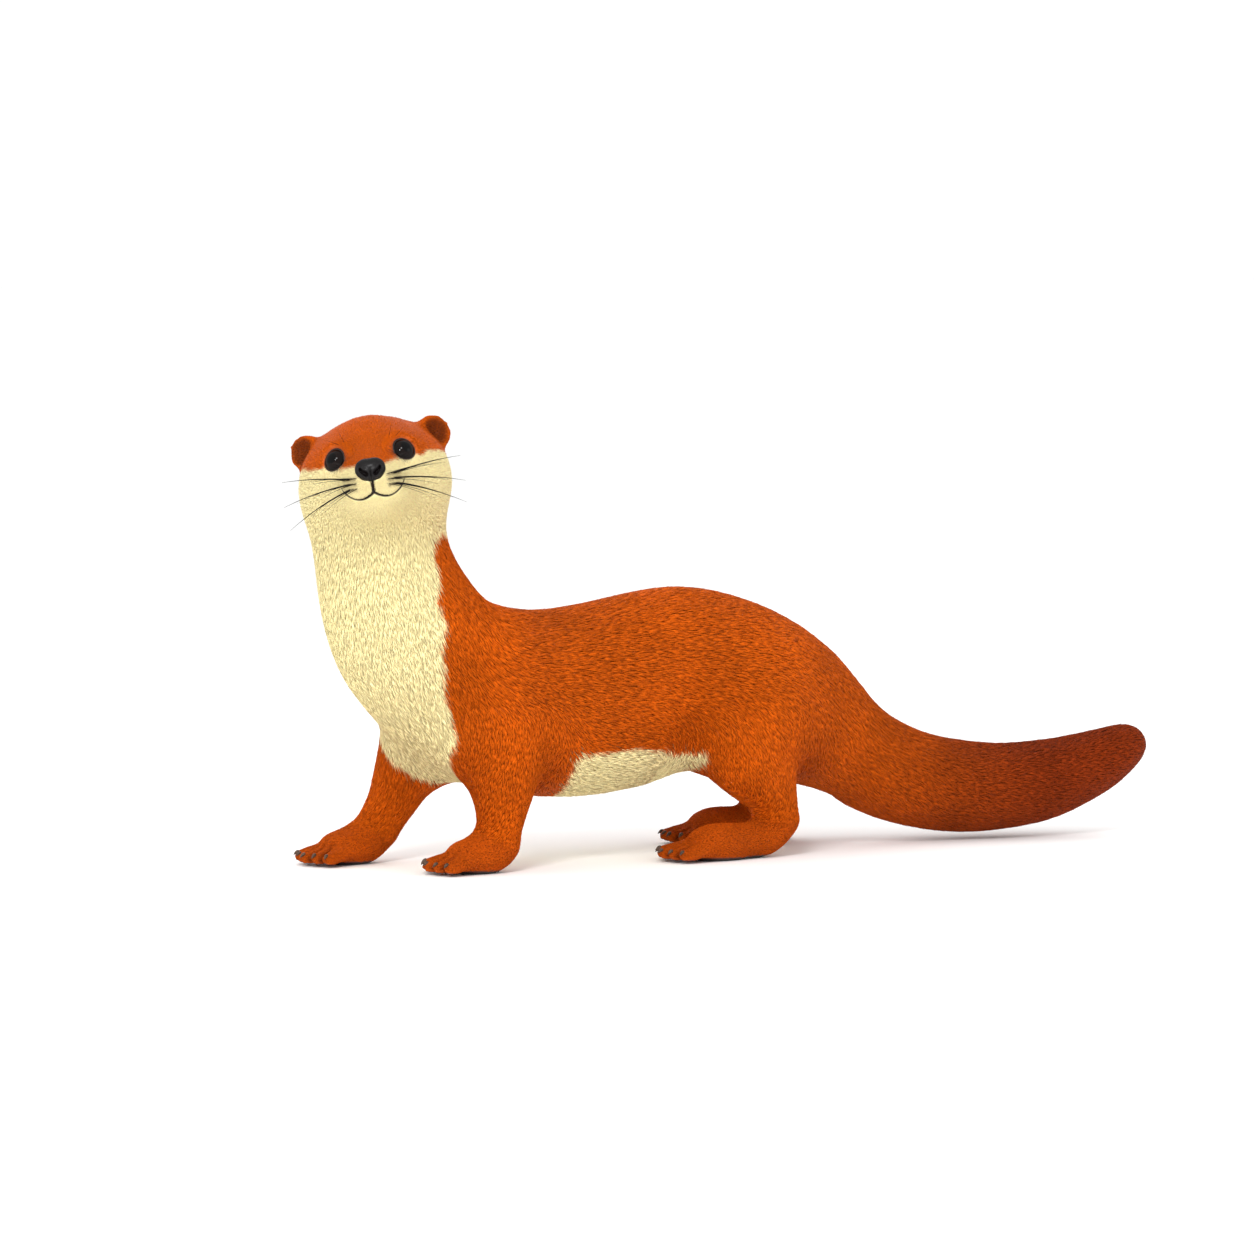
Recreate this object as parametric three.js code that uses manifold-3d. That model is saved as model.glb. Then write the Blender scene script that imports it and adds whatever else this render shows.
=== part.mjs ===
// Asian small-clawed otter, standing in mid-step with its head turned to its left and its tail swept back, with
// the tip bent to its left.
// Life-size model in millimetres: +Z up, the nose end of the trunk towards -X, the animal's left towards -Y.
//
// The body is one smooth field built from tapering limbs and ellipsoid masses. Each sub-part is the stretch of
// that field between flat cuts, so neighbours meet face to face with a thin gap. The outline is the coat's.
import * as THREE from 'three';
import { edgeTable, triTable } from 'three/addons/objects/MarchingCubes.js';
import { mergeVertices } from 'three/addons/utils/BufferGeometryUtils.js';
import Module from 'manifold-3d';

const wasm = await Module();
wasm.setup();

// ---------------------------------------------------------------- driving dimensions

const GAP = 0.3; // between neighbouring sub-parts
const LEFT = -1; // sign of Y on the animal's left
const RIGHT = 1;
const DEGREE = Math.PI / 180;

const LOIN_TOP = 174; // highest point of the back
const TRUNK_RADIUS = 56;
const TRUNK_WIDTH = 0.97; // of the trunk's section, as a share of its height
const TAIL_WIDTH = 1.06;

const STANCE = 46; // from the middle plane to each forefoot's centre line
const FORE_STRIDE = 42; // how far the right forepaw is ahead of the left
const HIND_STRIDE = 60; // how far the right hind paw is behind the left
const FORE_WRIST_X = -94; // of the left forepaw, the one further back
const HIND_ANKLE_X = 112; // of the left hind paw, the one further forward
const FORE_REACH = 35; // from under the palm to the middle toe's tip
const HIND_REACH = 40;

const HEAD_CENTRE = [-163, -11, 250];
const HEAD_TURN = 60 * DEGREE; // to the animal's left, from straight ahead
const HEAD_LIFT = 4 * DEGREE;
const HEAD_TILT = 9 * DEGREE; // left ear up

const EYE_RADIUS = 8;
const EYE_SUNK = 4.4; // of its centre, below the outline
const EYE_PLACE = [20, 10]; // of the left eye: left, up
const EAR_PLACE = [-12, 39.5, 19.5]; // of the left ear: forward, left, up
const EAR_TURN = 26 * DEGREE; // outwards, from straight ahead
const EAR_RADIUS = 12.5;
const EAR_DEPTH = 8.5;
const NOSE_SUNK = 1.5;
const NOSE_HEIGHT = 2;

const TOES = 5;
const TOE_RADIUS = 4.6;
const TOE_ROOT_HEIGHT = 10.5;
const TOE_SPACING = 6.2;
const TOE_FAN = 12 * DEGREE; // between neighbouring toes
const CLAW_LENGTH = 5.6; // short and blunt: they barely pass the toes
const CLAW_RADIUS = 1.5;
const CLAW_HEIGHT = 6.6;
const CLAW_DROOP = 28 * DEGREE;

// Fillets where one mass runs into the next.
const FILLET = {
  belly: 24, tail: 30, legRoot: 20, leg: 16, ankle: 7,
  head: 26, cheek: 16, jaw: 14, muzzle: 14, bridge: 8, brow: 8, whiskerPad: 5, nose: 3,
};

// Grid steps of the surfaces: the smaller the sub-part, the finer.
const STEP = { trunk: 18.4, neck: 15.4, tail: 14, tailTip: 10.8, head: 8.1, leg: 13.2, paw: 8.7, nose: 3.6 };

// ---------------------------------------------------------------- field functions

const FAR = 40; // beyond this a rough distance will do, as no fillet reaches that far
const PIECES = 5; // straight pieces between two stations

// Union of two distances with a fillet about k wide.
function blend(a, b, k) {
  const h = Math.max(k - Math.abs(a - b), 0) / k;
  return Math.min(a, b) - h * h * k * 0.25;
}

// A tapering limb through stations [x, y, z, radius], wider than it is high by the factor wide across Y.
function limb(stations, wide = 1) {
  const path = new THREE.CatmullRomCurve3(stations.map(([x, y, z]) => new THREE.Vector3(x, y / wide, z)));
  const girth = new THREE.CatmullRomCurve3(stations.map((s) => new THREE.Vector3(s[3], 0, 0)));
  const count = (stations.length - 1) * PIECES;
  const rounds = Array.from({ length: count + 1 }, (_, i) => {
    const at = path.getPoint(i / count);
    return [at.x, at.y, at.z, girth.getPoint(i / count).x];
  });
  const around = new THREE.Box3();
  for (const [x, y, z, r] of rounds) {
    around.expandByPoint(new THREE.Vector3(x - r, (y - r) * wide, z - r));
    around.expandByPoint(new THREE.Vector3(x + r, (y + r) * wide, z + r));
  }
  const here = new THREE.Vector3();
  return (x, y, z) => {
    const outside = around.distanceToPoint(here.set(x, y, z));
    if (outside > FAR) return outside;
    let nearest = Infinity;
    for (let i = 0; i < count; i++) {
      const [ax, ay, az, ar] = rounds[i];
      const [bx, by, bz, br] = rounds[i + 1];
      const dx = bx - ax, dy = by - ay, dz = bz - az;
      const px = x - ax, py = y / wide - ay, pz = z - az;
      const share = (px * dx + py * dy + pz * dz) / (dx * dx + dy * dy + dz * dz);
      const t = Math.min(Math.max(share, 0), 1);
      const away = Math.hypot(px - t * dx, py - t * dy, pz - t * dz) - (ar + t * (br - ar));
      nearest = Math.min(nearest, away);
    }
    return nearest;
  };
}

// An ellipsoid, optionally turned about Y by the angle pitch.
function mass([cx, cy, cz], [rx, ry, rz], pitch = 0) {
  const cos = Math.cos(pitch), sin = Math.sin(pitch);
  return (x, y, z) => {
    const dx = x - cx, dy = y - cy, dz = z - cz;
    const px = (cos * dx - sin * dz) / rx, py = dy / ry, pz = (sin * dx + cos * dz) / rz;
    const k0 = Math.hypot(px, py, pz);
    const k1 = Math.hypot(px / rx, py / ry, pz / rz);
    return k1 < 1e-9 ? -Math.min(rx, ry, rz) : (k0 * (k0 - 1)) / k1;
  };
}

// A field given in a frame of its own, read at points of the model.
function placed(field, frame) {
  const back = frame.clone().invert().elements;
  return (x, y, z) => field(
    back[0] * x + back[4] * y + back[8] * z + back[12],
    back[1] * x + back[5] * y + back[9] * z + back[13],
    back[2] * x + back[6] * y + back[10] * z + back[14],
  );
}

// A frame from turns about Z, then Y, then X, and a place.
const frameOf = ([x, y, z], turnZ = 0, turnY = 0, turnX = 0) => new THREE.Matrix4()
  .makeRotationFromEuler(new THREE.Euler(turnX, turnY, turnZ, 'ZYX'))
  .setPosition(x, y, z);

// A plane through point, whose kept side is where towards points.
const cut = (point, towards) => ({
  point: new THREE.Vector3(...point),
  towards: new THREE.Vector3(...towards).normalize(),
});
const flipped = ({ point, towards }) => ({ point, towards: towards.clone().negate() });

// ---------------------------------------------------------------- trunk, neck and tail

const spine = limb([
  [-151, 10, 238, 34], // inside the back of the head
  [-152, 6, 208, 39.5],
  [-146, 1, 176, 46.5],
  [-128, 0, 142, 52], // neck base
  [-96, 0, 117, 54], // shoulders
  [-46, 0, 107, 54.5], // rib cage
  [8, 0, 110, 56],
  [62, 0, LOIN_TOP - TRUNK_RADIUS, TRUNK_RADIUS], // loins
  [104, 0, 110, 54],
  [146, 0, 93, 43], // rump
], TRUNK_WIDTH);

const tail = limb([
  [140, 0, 94, 38], // inside the rump
  [182, -1, 68, 34.5],
  [226, -4, 45, 33],
  [277, -10, 34.5, 31], // lowest
  [326, -18, 36, 28],
  [367, -26, 47.5, 22.5],
  [391, -32, 59.5, 16], // tip
], TAIL_WIDTH);

const belly = mass([-14, 0, 89], [100, 50, 48]);

function trunkField(x, y, z) {
  const barrel = blend(spine(x, y, z), belly(x, y, z), FILLET.belly);
  return blend(barrel, tail(x, y, z), FILLET.tail);
}

// ---------------------------------------------------------------- head, in its own frame: forward, left, up

const headFrame = frameOf(HEAD_CENTRE, Math.PI + HEAD_TURN, -HEAD_LIFT, HEAD_TILT);

const skull = mass([-9, 0, 5], [48, 41, 31]);
const cheek = mass([3, 26.5, -8], [31, 21, 23]);
const jaw = limb([[-24, 0, -12, 30], [8, 0, -15, 24], [32, 0, -18, 14.5], [44, 0, -19, 9.5]], 1.2);
const muzzle = limb([[12, 0, 1, 27], [34, 0, -4, 20], [47, 0, -5, 14.5]], 1.32);
const whiskerPad = mass([44, 14, -9], [14.5, 13.5, 11.5]);
const noseBridge = limb([[16, 0, 22, 15], [38, 0, 11, 10], [52, 0, 4.5, 7.5]], 1.35);
const brow = mass([24, 18, 16], [13, 12, 8]);

function headField(x, y, z) {
  const side = Math.abs(y);
  let d = blend(skull(x, y, z), cheek(x, side, z), FILLET.cheek);
  d = blend(d, jaw(x, y, z), FILLET.jaw);
  d = blend(d, muzzle(x, y, z), FILLET.muzzle);
  d = blend(d, noseBridge(x, y, z), FILLET.bridge);
  d = blend(d, brow(x, side, z), FILLET.brow);
  return blend(d, whiskerPad(x, side, z), FILLET.whiskerPad);
}
const head = placed(headField, headFrame);

// The point sunk below the head's outline, seen from in front at the given distances left and up.
function onFace(left, up, sunk) {
  let ahead = 80;
  for (let turn = 0; turn < 40; turn++) ahead -= 0.7 * (headField(ahead, left, up) + sunk);
  return [ahead, left, up];
}

// The ear is a round cup with a blunt rim, open forwards and outwards, turned about its own axis. The profile
// runs from the middle of the back over the rim to the bottom of the hollow, in shares of radius and depth.
const EAR_PROFILE = [
  [0, -1], [0.5, -0.93], [0.87, -0.5], [1, 0],
  [0.96, 0.28], [0.82, 0.22], [0.6, -0.15], [0, -0.4],
];
function earShape(side) {
  const points = EAR_PROFILE.map(([out, along]) => new THREE.Vector2(out * EAR_RADIUS, along * EAR_DEPTH));
  const [ahead, left, up] = EAR_PLACE;
  const frame = headFrame.clone().multiply(frameOf([ahead, -side * left, up], -side * EAR_TURN, 6 * DEGREE));
  return solid(new THREE.LatheGeometry(points, 14).rotateZ(-Math.PI / 2).applyMatrix4(frame));
}

// The bare nose pad: a rounded block, broader above, with a nostril on each side.
const noseFrame = headFrame.clone().multiply(frameOf(onFace(0, NOSE_HEIGHT, NOSE_SUNK)));
const nosePad = mass([0, 0, 0], [6.5, 9.8, 6.8]);
const noseFoot = mass([0.5, 0, -4.5], [5, 4.5, 4]);
const nostril = mass([6, 5, -0.8], [4.2, 2.2, 1.9]);
function noseField(x, y, z) {
  return Math.max(blend(nosePad(x, y, z), noseFoot(x, y, z), FILLET.nose), -nostril(x, Math.abs(y), z));
}

// ---------------------------------------------------------------- legs and paws

// A paw in its own frame: toes towards +X, sole on the ground, origin under the middle of the palm.
const MIDDLE_TOE = (TOES - 1) / 2;
const toeTurn = (toe) => (toe - MIDDLE_TOE) * TOE_FAN;
const toeReach = (toe, reach) => reach - 1.9 * Math.abs(toe - MIDDLE_TOE);
function alongToe(toe, distance) {
  const turn = toeTurn(toe);
  const root = (toe - MIDDLE_TOE) * TOE_SPACING;
  return [distance * Math.cos(turn), root + distance * Math.sin(turn) * 0.42];
}

const palm = mass([0, 0, 10], [22, 18.5, 12]);

// A toe slopes down from the palm to its tip. Its profile is in shares of its radius and its length.
const TOE_PROFILE = [[0, 0], [1.15, 0.06], [1, 0.75], [0.66, 0.95], [0, 1]];
function toeShape(toe, { reach, frame }) {
  const root = new THREE.Vector3(...alongToe(toe, 3), TOE_ROOT_HEIGHT);
  const tip = new THREE.Vector3(...alongToe(toe, toeReach(toe, reach)), TOE_RADIUS - 0.5);
  const slope = tip.clone().sub(root);
  const points = TOE_PROFILE.map(([out, along]) => new THREE.Vector2(out * TOE_RADIUS, along * slope.length()));
  const turn = new THREE.Quaternion().setFromUnitVectors(new THREE.Vector3(0, 1, 0), slope.normalize());
  return solid(
    new THREE.LatheGeometry(points, 6).applyQuaternion(turn).translate(...root.toArray()).applyMatrix4(frame),
  );
}

const pawFrame = (x, y, turn) => frameOf([x, y, 0], Math.PI + turn);

// Each leg: the muscle at its root, the limb down to the wrist or ankle, the paw's frame and reach, and the
// plane between the two.
function foreleg(side, wristX) {
  const foot = side * STANCE;
  const root = mass([-92, side * 33, 98], [36, 21, 42], 0.25);
  const shaft = limb([
    [-96, side * 36, 91, 27],
    [(wristX - 82) / 2, side * 44, 63, 22], // elbow
    [(wristX * 2 - 88) / 3, foot, 39, 17.5],
    [wristX, foot, 18, 14.5],
    [wristX - 12, foot, 11, 11],
  ]);
  const frame = pawFrame(wristX - 17, foot, side * 5 * DEGREE);
  return { root, shaft, frame, reach: FORE_REACH, wrist: cut([wristX - 3, foot, 22], [-0.35, 0, -1]) };
}

function hindleg(side, ankleX) {
  const foot = side * (STANCE + 4);
  const root = mass([104, side * 30, 98], [47, 27, 49], -0.3);
  const shaft = limb([
    [104, side * 34, 87, 33],
    [ankleX * 0.7 + 8, side * 46, 65, 26], // knee
    [ankleX * 0.8 + 12, foot, 45, 19.5],
    [ankleX - 2, foot, 25, 14], // ankle
    [ankleX - 14, foot, 13, 12.5],
    [ankleX - 34, foot, 11, 12],
    [ankleX - 52, foot, 10.5, 11.5],
  ]);
  const frame = pawFrame(ankleX - 50, foot, side * 6 * DEGREE);
  return { root, shaft, frame, reach: HIND_REACH, wrist: cut([ankleX - 4, foot, 26], [-0.06, 0, -1]) };
}

const LEGS = {
  foreleg_left: foreleg(LEFT, FORE_WRIST_X),
  foreleg_right: foreleg(RIGHT, FORE_WRIST_X - FORE_STRIDE),
  hindleg_left: hindleg(LEFT, HIND_ANKLE_X),
  hindleg_right: hindleg(RIGHT, HIND_ANKLE_X + HIND_STRIDE),
};

const ABOVE_PAWS = 60;
for (const leg of Object.values(LEGS)) {
  const paw = placed(palm, leg.frame);
  leg.field = (x, y, z) => {
    const shaft = leg.shaft(x, y, z);
    return z < ABOVE_PAWS ? blend(shaft, paw(x, y, z), FILLET.ankle) : shaft;
  };
}

// ---------------------------------------------------------------- the whole body

function body(x, y, z) {
  let d = trunkField(x, y, z);
  for (const leg of Object.values(LEGS)) d = blend(d, leg.root(x, y, z), FILLET.legRoot);
  for (const leg of Object.values(LEGS)) d = blend(d, leg.field(x, y, z), FILLET.leg);
  return blend(d, head(x, y, z), FILLET.head);
}

// ---------------------------------------------------------------- solids from fields

const MERGE = 0.33; // share of a grid step within which vertices are merged

const CORNERS = [[0, 0, 0], [1, 0, 0], [1, 1, 0], [0, 1, 0], [0, 0, 1], [1, 0, 1], [1, 1, 1], [0, 1, 1]];
const EDGES = [[0, 1], [1, 2], [3, 2], [0, 3], [4, 5], [5, 6], [7, 6], [4, 7], [0, 4], [1, 5], [2, 6], [3, 7]];

// Every [i, j, k] of a grid with the given counts along its three axes.
function* gridOf([nx, ny, nz]) {
  for (let k = 0; k < nz; k++) {
    for (let j = 0; j < ny; j++) {
      for (let i = 0; i < nx; i++) yield [i, j, k];
    }
  }
}

// The closed zero surface of field within the box from low to high, in the frame's own coordinates.
function surface(field, low, high, step, frame = new THREE.Matrix4()) {
  const counts = low.map((v, axis) => Math.ceil((high[axis] - v) / step) + 1);
  const index = ([i, j, k]) => i + counts[0] * (j + counts[1] * k);
  const seat = (at) => new THREE.Vector3(...at.map((n, axis) => low[axis] + n * step)).applyMatrix4(frame);
  const values = new Float64Array(counts[0] * counts[1] * counts[2]);
  for (const at of gridOf(counts)) {
    const onWall = at.some((n, axis) => n === 0 || n === counts[axis] - 1);
    values[index(at)] = onWall ? step : field(...seat(at).toArray());
  }

  // Each grid edge that the surface crosses gives a point, and those close to one grid corner share a vertex.
  const vertices = new Map(), onEdge = new Map(), triangles = [];
  const crossing = ([a, b]) => {
    const edge = index(a) * 3 + b.findIndex((n, axis) => n !== a[axis]);
    if (!onEdge.has(edge)) {
      const before = values[index(a)];
      const share = before / (before - values[index(b)]);
      const vertex = share < MERGE ? index(a) : share > 1 - MERGE ? index(b) : -1 - edge;
      if (!vertices.has(vertex)) vertices.set(vertex, []);
      vertices.get(vertex).push(seat(a).lerp(seat(b), share));
      onEdge.set(edge, vertex);
    }
    return onEdge.get(edge);
  };
  for (const at of gridOf(counts.map((n) => n - 1))) {
    const cell = CORNERS.map((corner) => corner.map((n, axis) => n + at[axis]));
    const kind = cell.reduce((bits, corner, n) => bits | (values[index(corner)] < 0 ? 1 << n : 0), 0);
    if (!edgeTable[kind]) continue;
    for (let t = kind * 16; triTable[t] !== -1; t += 3) {
      const [a, b, c] = [0, 1, 2].map((n) => crossing(EDGES[triTable[t + n]].map((end) => cell[end])));
      if (a !== b && b !== c && c !== a) triangles.push([a, c, b]);
    }
  }

  const order = new Map([...vertices.keys()].map((vertex, n) => [vertex, n]));
  const settledAt = [...vertices.values()].flatMap((points) => {
    const sum = points.reduce((total, point) => total.add(point), new THREE.Vector3());
    return settled(field, sum.divideScalar(points.length), step).toArray();
  });
  return new wasm.Manifold(new wasm.Mesh({
    numProp: 3,
    vertProperties: new Float32Array(settledAt),
    triVerts: new Uint32Array(triangles.flat().map((vertex) => order.get(vertex))),
  }));
}

// Moves a point that is near the surface onto it, along the field's slope, unless it sits on the grid's wall.
function settled(field, point, step) {
  const probe = 0.05;
  for (let turn = 0; turn < 2; turn++) {
    const [x, y, z] = point.toArray();
    const value = field(x, y, z);
    if (Math.abs(value) > step / 3) break;
    const slope = new THREE.Vector3(
      field(x + probe, y, z) - value,
      field(x, y + probe, z) - value,
      field(x, y, z + probe) - value,
    ).divideScalar(probe);
    point.addScaledVector(slope, -value / Math.max(slope.lengthSq(), 0.2));
  }
  return point;
}

// A closed three.js geometry as a solid.
function solid(geometry) {
  const bare = geometry.clone().deleteAttribute('normal').deleteAttribute('uv');
  const merged = mergeVertices(bare, 1e-4);
  return new wasm.Manifold(new wasm.Mesh({
    numProp: 3,
    vertProperties: new Float32Array(merged.attributes.position.array),
    triVerts: new Uint32Array(merged.index.array),
  }));
}

function geometryOf(made) {
  const { numProp, vertProperties, triVerts } = made.getMesh();
  const position = new Float32Array((vertProperties.length / numProp) * 3);
  for (let i = 0; i < position.length / 3; i++) {
    position.set(vertProperties.subarray(i * numProp, i * numProp + 3), i * 3);
  }
  const geometry = new THREE.BufferGeometry()
    .setAttribute('position', new THREE.BufferAttribute(position, 3))
    .setIndex(new THREE.BufferAttribute(new Uint32Array(triVerts), 1));
  geometry.computeVertexNormals();
  return geometry;
}

// The biggest of a solid's separate bodies.
function largest(made) {
  return made.decompose().reduce((best, each) => (each.volume() > best.volume() ? each : best));
}

// ---------------------------------------------------------------- cuts

const REACH = 900; // of the blocks that cut, well past the animal
const WIDE_BOX = new THREE.BoxGeometry(REACH, REACH, REACH);

// The big block on the far side of a plane, set back by inset (or brought forward where that is negative).
function beyond({ point, towards }, inset) {
  const turn = new THREE.Quaternion().setFromUnitVectors(new THREE.Vector3(0, 0, 1), towards);
  const centre = point.clone().addScaledVector(towards, inset - REACH / 2);
  return solid(WIDE_BOX.clone().applyQuaternion(turn).translate(...centre.toArray()));
}

const within = (made, planes) => planes.reduce((kept, plane) => kept.subtract(beyond(plane, GAP / 2)), made);

// The convex block between planes, grown by half the gap, for taking out of a neighbour.
const block = (planes) => planes.reduce(
  (kept, plane) => kept.subtract(beyond(plane, -GAP / 2)),
  solid(WIDE_BOX),
);

const GROUND = cut([0, 0, -GAP / 2], [0, 0, 1]);
const HEAD_CUT = cut([-158, -4, 214], [0.1, 0.16, 1]);
const NECK_CUT = cut([-128, 0, 140], [-0.62, 0, 1]);
const RIB_CUT = cut([-34, 0, 0], [1, 0, 0]);
const LOIN_CUT = cut([44, 0, 0], [1, 0, 0]);
const TAIL_CUT = cut([172, 0, 79], [0.82, 0, -0.57]);
const TAIL_MIDDLE_CUT = cut([243, 0, 41], [0.93, 0, -0.36]);
const TAIL_TIP_CUT = cut([318, 0, 36], [0.97, 0, 0.24]);

// A leg's block: below and outside a plane that slants up from the belly, between two planes across the trunk,
// where the one behind may lean forwards.
const legPlanes = (side, from, to, bottom, lean = 0) => [
  cut([0, side * 16, bottom], [0, side * 0.74, -0.67]),
  cut([0, 0, 0], [0, side, 0]),
  cut([from, 0, 0], [1, 0, 0]),
  cut([to, 0, 0], [-1, 0, -lean]),
];
const FORE_BLOCK = 54; // height at which the slanting plane passes the inside of a leg
const HIND_BLOCK = 52;
const TRAILING_LEAN = 0.4; // of the plane behind the leg that is stretched back
const LEG_PLANES = {
  foreleg_left: legPlanes(LEFT, FORE_WRIST_X - 60, FORE_WRIST_X + 54, FORE_BLOCK),
  foreleg_right: legPlanes(RIGHT, FORE_WRIST_X - 110, FORE_WRIST_X + 50, FORE_BLOCK),
  hindleg_left: legPlanes(LEFT, HIND_ANKLE_X - 90, HIND_ANKLE_X + 46, HIND_BLOCK),
  hindleg_right: legPlanes(RIGHT, HIND_ANKLE_X - 40, HIND_ANKLE_X + 84, HIND_BLOCK, TRAILING_LEAN),
};

// ---------------------------------------------------------------- sub-parts

const COAT = new THREE.MeshStandardMaterial({ color: 0xa9501c, roughness: 0.75, metalness: 0 });
const DARK_COAT = new THREE.MeshStandardMaterial({ color: 0x7a3410, roughness: 0.75, metalness: 0 });
const PALE_COAT = new THREE.MeshStandardMaterial({ color: 0xf3deae, roughness: 0.8, metalness: 0 });
const NOSE_SKIN = new THREE.MeshStandardMaterial({ color: 0x17110f, roughness: 0.4, metalness: 0 });
const EYE = new THREE.MeshStandardMaterial({ color: 0x0b0706, roughness: 0.05, metalness: 0 });
const CLAW = new THREE.MeshStandardMaterial({ color: 0x4a3a30, roughness: 0.5, metalness: 0 });

const otter = new THREE.Group();

function add(name, made, material) {
  const mesh = new THREE.Mesh(geometryOf(made), material);
  mesh.name = name;
  otter.add(mesh);
}

function addHead() {
  const headBox = [[-84, -66, -64], [68, 58, 50]];
  const outline = (grow) => surface((x, y, z) => body(x, y, z) - grow, ...headBox, STEP.head, headFrame);
  const clearOfHead = outline(1.5 * GAP);
  let made = within(outline(0), [HEAD_CUT]);
  for (const [name, side] of [['left', LEFT], ['right', RIGHT]]) {
    const place = onFace(-side * EYE_PLACE[0], EYE_PLACE[1], EYE_SUNK);
    const ball = (radius) => solid(
      new THREE.SphereGeometry(radius, 12, 8).translate(...place).applyMatrix4(headFrame),
    );
    made = made.subtract(ball(EYE_RADIUS + GAP));
    add('eye_' + name, ball(EYE_RADIUS), EYE);
    add('ear_' + name, largest(earShape(side).subtract(clearOfHead)), COAT);
  }

  const noseBox = [[-10, -14, -12], [10, 14, 11]];
  const seat = (x, y, z) => Math.min(nosePad(x, y, z), noseFoot(x, y, z)) - 3 * GAP;
  made = made.subtract(surface(placed(seat, noseFrame), ...noseBox, STEP.nose, noseFrame));
  add('nose', surface(placed(noseField, noseFrame), ...noseBox, STEP.nose, noseFrame), NOSE_SKIN);
  add('head', largest(made), COAT);
}

function addTrunk() {
  const legBlocks = Object.values(LEG_PLANES).map(block);
  const stretch = (low, high, step, planes) => {
    const between = within(surface(body, low, high, step), planes);
    return largest(legBlocks.reduce((kept, leg) => kept.subtract(leg), between));
  };
  const lengths = {
    neck: [[-230, -70, 100], [-90, 70, 290], STEP.neck, [flipped(HEAD_CUT), NECK_CUT]],
    chest: [[-220, -92, 30], [0, 92, 210], STEP.trunk, [flipped(NECK_CUT), flipped(RIB_CUT)]],
    belly: [[-70, -92, 30], [80, 92, 210], STEP.trunk, [RIB_CUT, flipped(LOIN_CUT)]],
    hips: [[8, -92, 30], [210, 92, 210], STEP.trunk, [LOIN_CUT, flipped(TAIL_CUT)]],
    tail_base: [[130, -64, -5], [290, 60, 140], STEP.tail, [TAIL_CUT, flipped(TAIL_MIDDLE_CUT)]],
    tail_middle: [[220, -64, -5], [350, 50, 110], STEP.tail, [TAIL_MIDDLE_CUT, flipped(TAIL_TIP_CUT)]],
    tail_tip: [[300, -74, -5], [440, 40, 130], STEP.tailTip, [TAIL_TIP_CUT]],
  };
  const colours = { neck: PALE_COAT, tail_tip: DARK_COAT };
  for (const [name, length] of Object.entries(lengths)) add(name, stretch(...length), colours[name] ?? COAT);
}

// A claw along +X about the origin, grown on every side by the distance grow.
function clawShape(grow) {
  const radius = CLAW_RADIUS + grow, end = CLAW_LENGTH / 2;
  const profile = [[0, -end - grow], [radius, -end - grow], [radius * 0.8, end * 0.5], [0, end + grow]];
  return new THREE.LatheGeometry(profile.map(([x, y]) => new THREE.Vector2(x, y)), 5).rotateZ(-Math.PI / 2);
}

function addLeg(name, leg) {
  const planes = LEG_PLANES[name];
  const { x, y } = new THREE.Vector3().setFromMatrixPosition(leg.frame);
  const legSurface = surface(body, [x - 57, y - 42, -12], [x + 115, y + 42, 130], STEP.leg);
  add(name, largest(within(legSurface, [...planes, flipped(leg.wrist)])), COAT);

  const paw = name.replace('leg', 'paw');
  let made = surface(body, [-75, -34, -9], [40, 34, 44], STEP.paw, leg.frame);
  for (let toe = 0; toe < TOES; toe++) made = made.add(toeShape(toe, leg));
  made = within(made, [...planes, leg.wrist, GROUND]);
  for (let toe = 0; toe < TOES; toe++) {
    const [ahead, across] = alongToe(toe, toeReach(toe, leg.reach) - 1);
    const tip = leg.frame.clone().multiply(frameOf([ahead, across, CLAW_HEIGHT], toeTurn(toe), CLAW_DROOP));
    const claw = (grow) => solid(clawShape(grow).applyMatrix4(tip));
    made = made.subtract(claw(GAP));
    add(`${paw}_claw_${toe + 1}`, claw(0), CLAW);
  }
  add(paw, largest(made), COAT);
}

addHead();
addTrunk();
for (const [name, leg] of Object.entries(LEGS)) addLeg(name, leg);

// The origin is on the ground, under the middle of the box round the whole animal.
const bounds = new THREE.Box3().setFromObject(otter);
const middle = bounds.getCenter(new THREE.Vector3());
otter.position.set(-middle.x, -middle.y, -bounds.min.z);

export default otter;
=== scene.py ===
"""A standing Asian small-clawed otter that looks to its left.

One skin is drawn over the flesh solids and lies inside them by the depth of the coat.
Tufts of fur, the eyes, the nose, the claws and the whiskers are set on that skin.
"""

import math
from collections import namedtuple
from contextlib import contextmanager

import bmesh
import bpy
import numpy as np
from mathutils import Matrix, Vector
from mathutils.bvhtree import BVHTree


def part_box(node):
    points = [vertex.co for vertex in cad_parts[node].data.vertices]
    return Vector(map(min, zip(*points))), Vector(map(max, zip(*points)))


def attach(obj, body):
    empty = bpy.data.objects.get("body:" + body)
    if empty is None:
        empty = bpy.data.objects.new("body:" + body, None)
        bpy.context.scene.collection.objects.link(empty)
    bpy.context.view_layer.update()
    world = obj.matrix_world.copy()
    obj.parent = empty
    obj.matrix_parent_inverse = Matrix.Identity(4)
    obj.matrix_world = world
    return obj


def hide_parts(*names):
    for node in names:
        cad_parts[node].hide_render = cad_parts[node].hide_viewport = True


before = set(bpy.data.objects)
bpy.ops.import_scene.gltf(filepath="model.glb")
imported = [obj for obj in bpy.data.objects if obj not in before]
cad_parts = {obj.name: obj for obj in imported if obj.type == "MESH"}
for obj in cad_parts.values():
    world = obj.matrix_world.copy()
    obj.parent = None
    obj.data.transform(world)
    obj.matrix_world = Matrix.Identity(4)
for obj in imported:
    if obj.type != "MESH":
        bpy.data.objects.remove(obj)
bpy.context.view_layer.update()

MM = 0.001
SIDES = ("left", "right")
MIRROR = {"left": 1, "right": -1}
FAR = 99.0  # a distance in millimetres that is out of reach of everything

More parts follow.
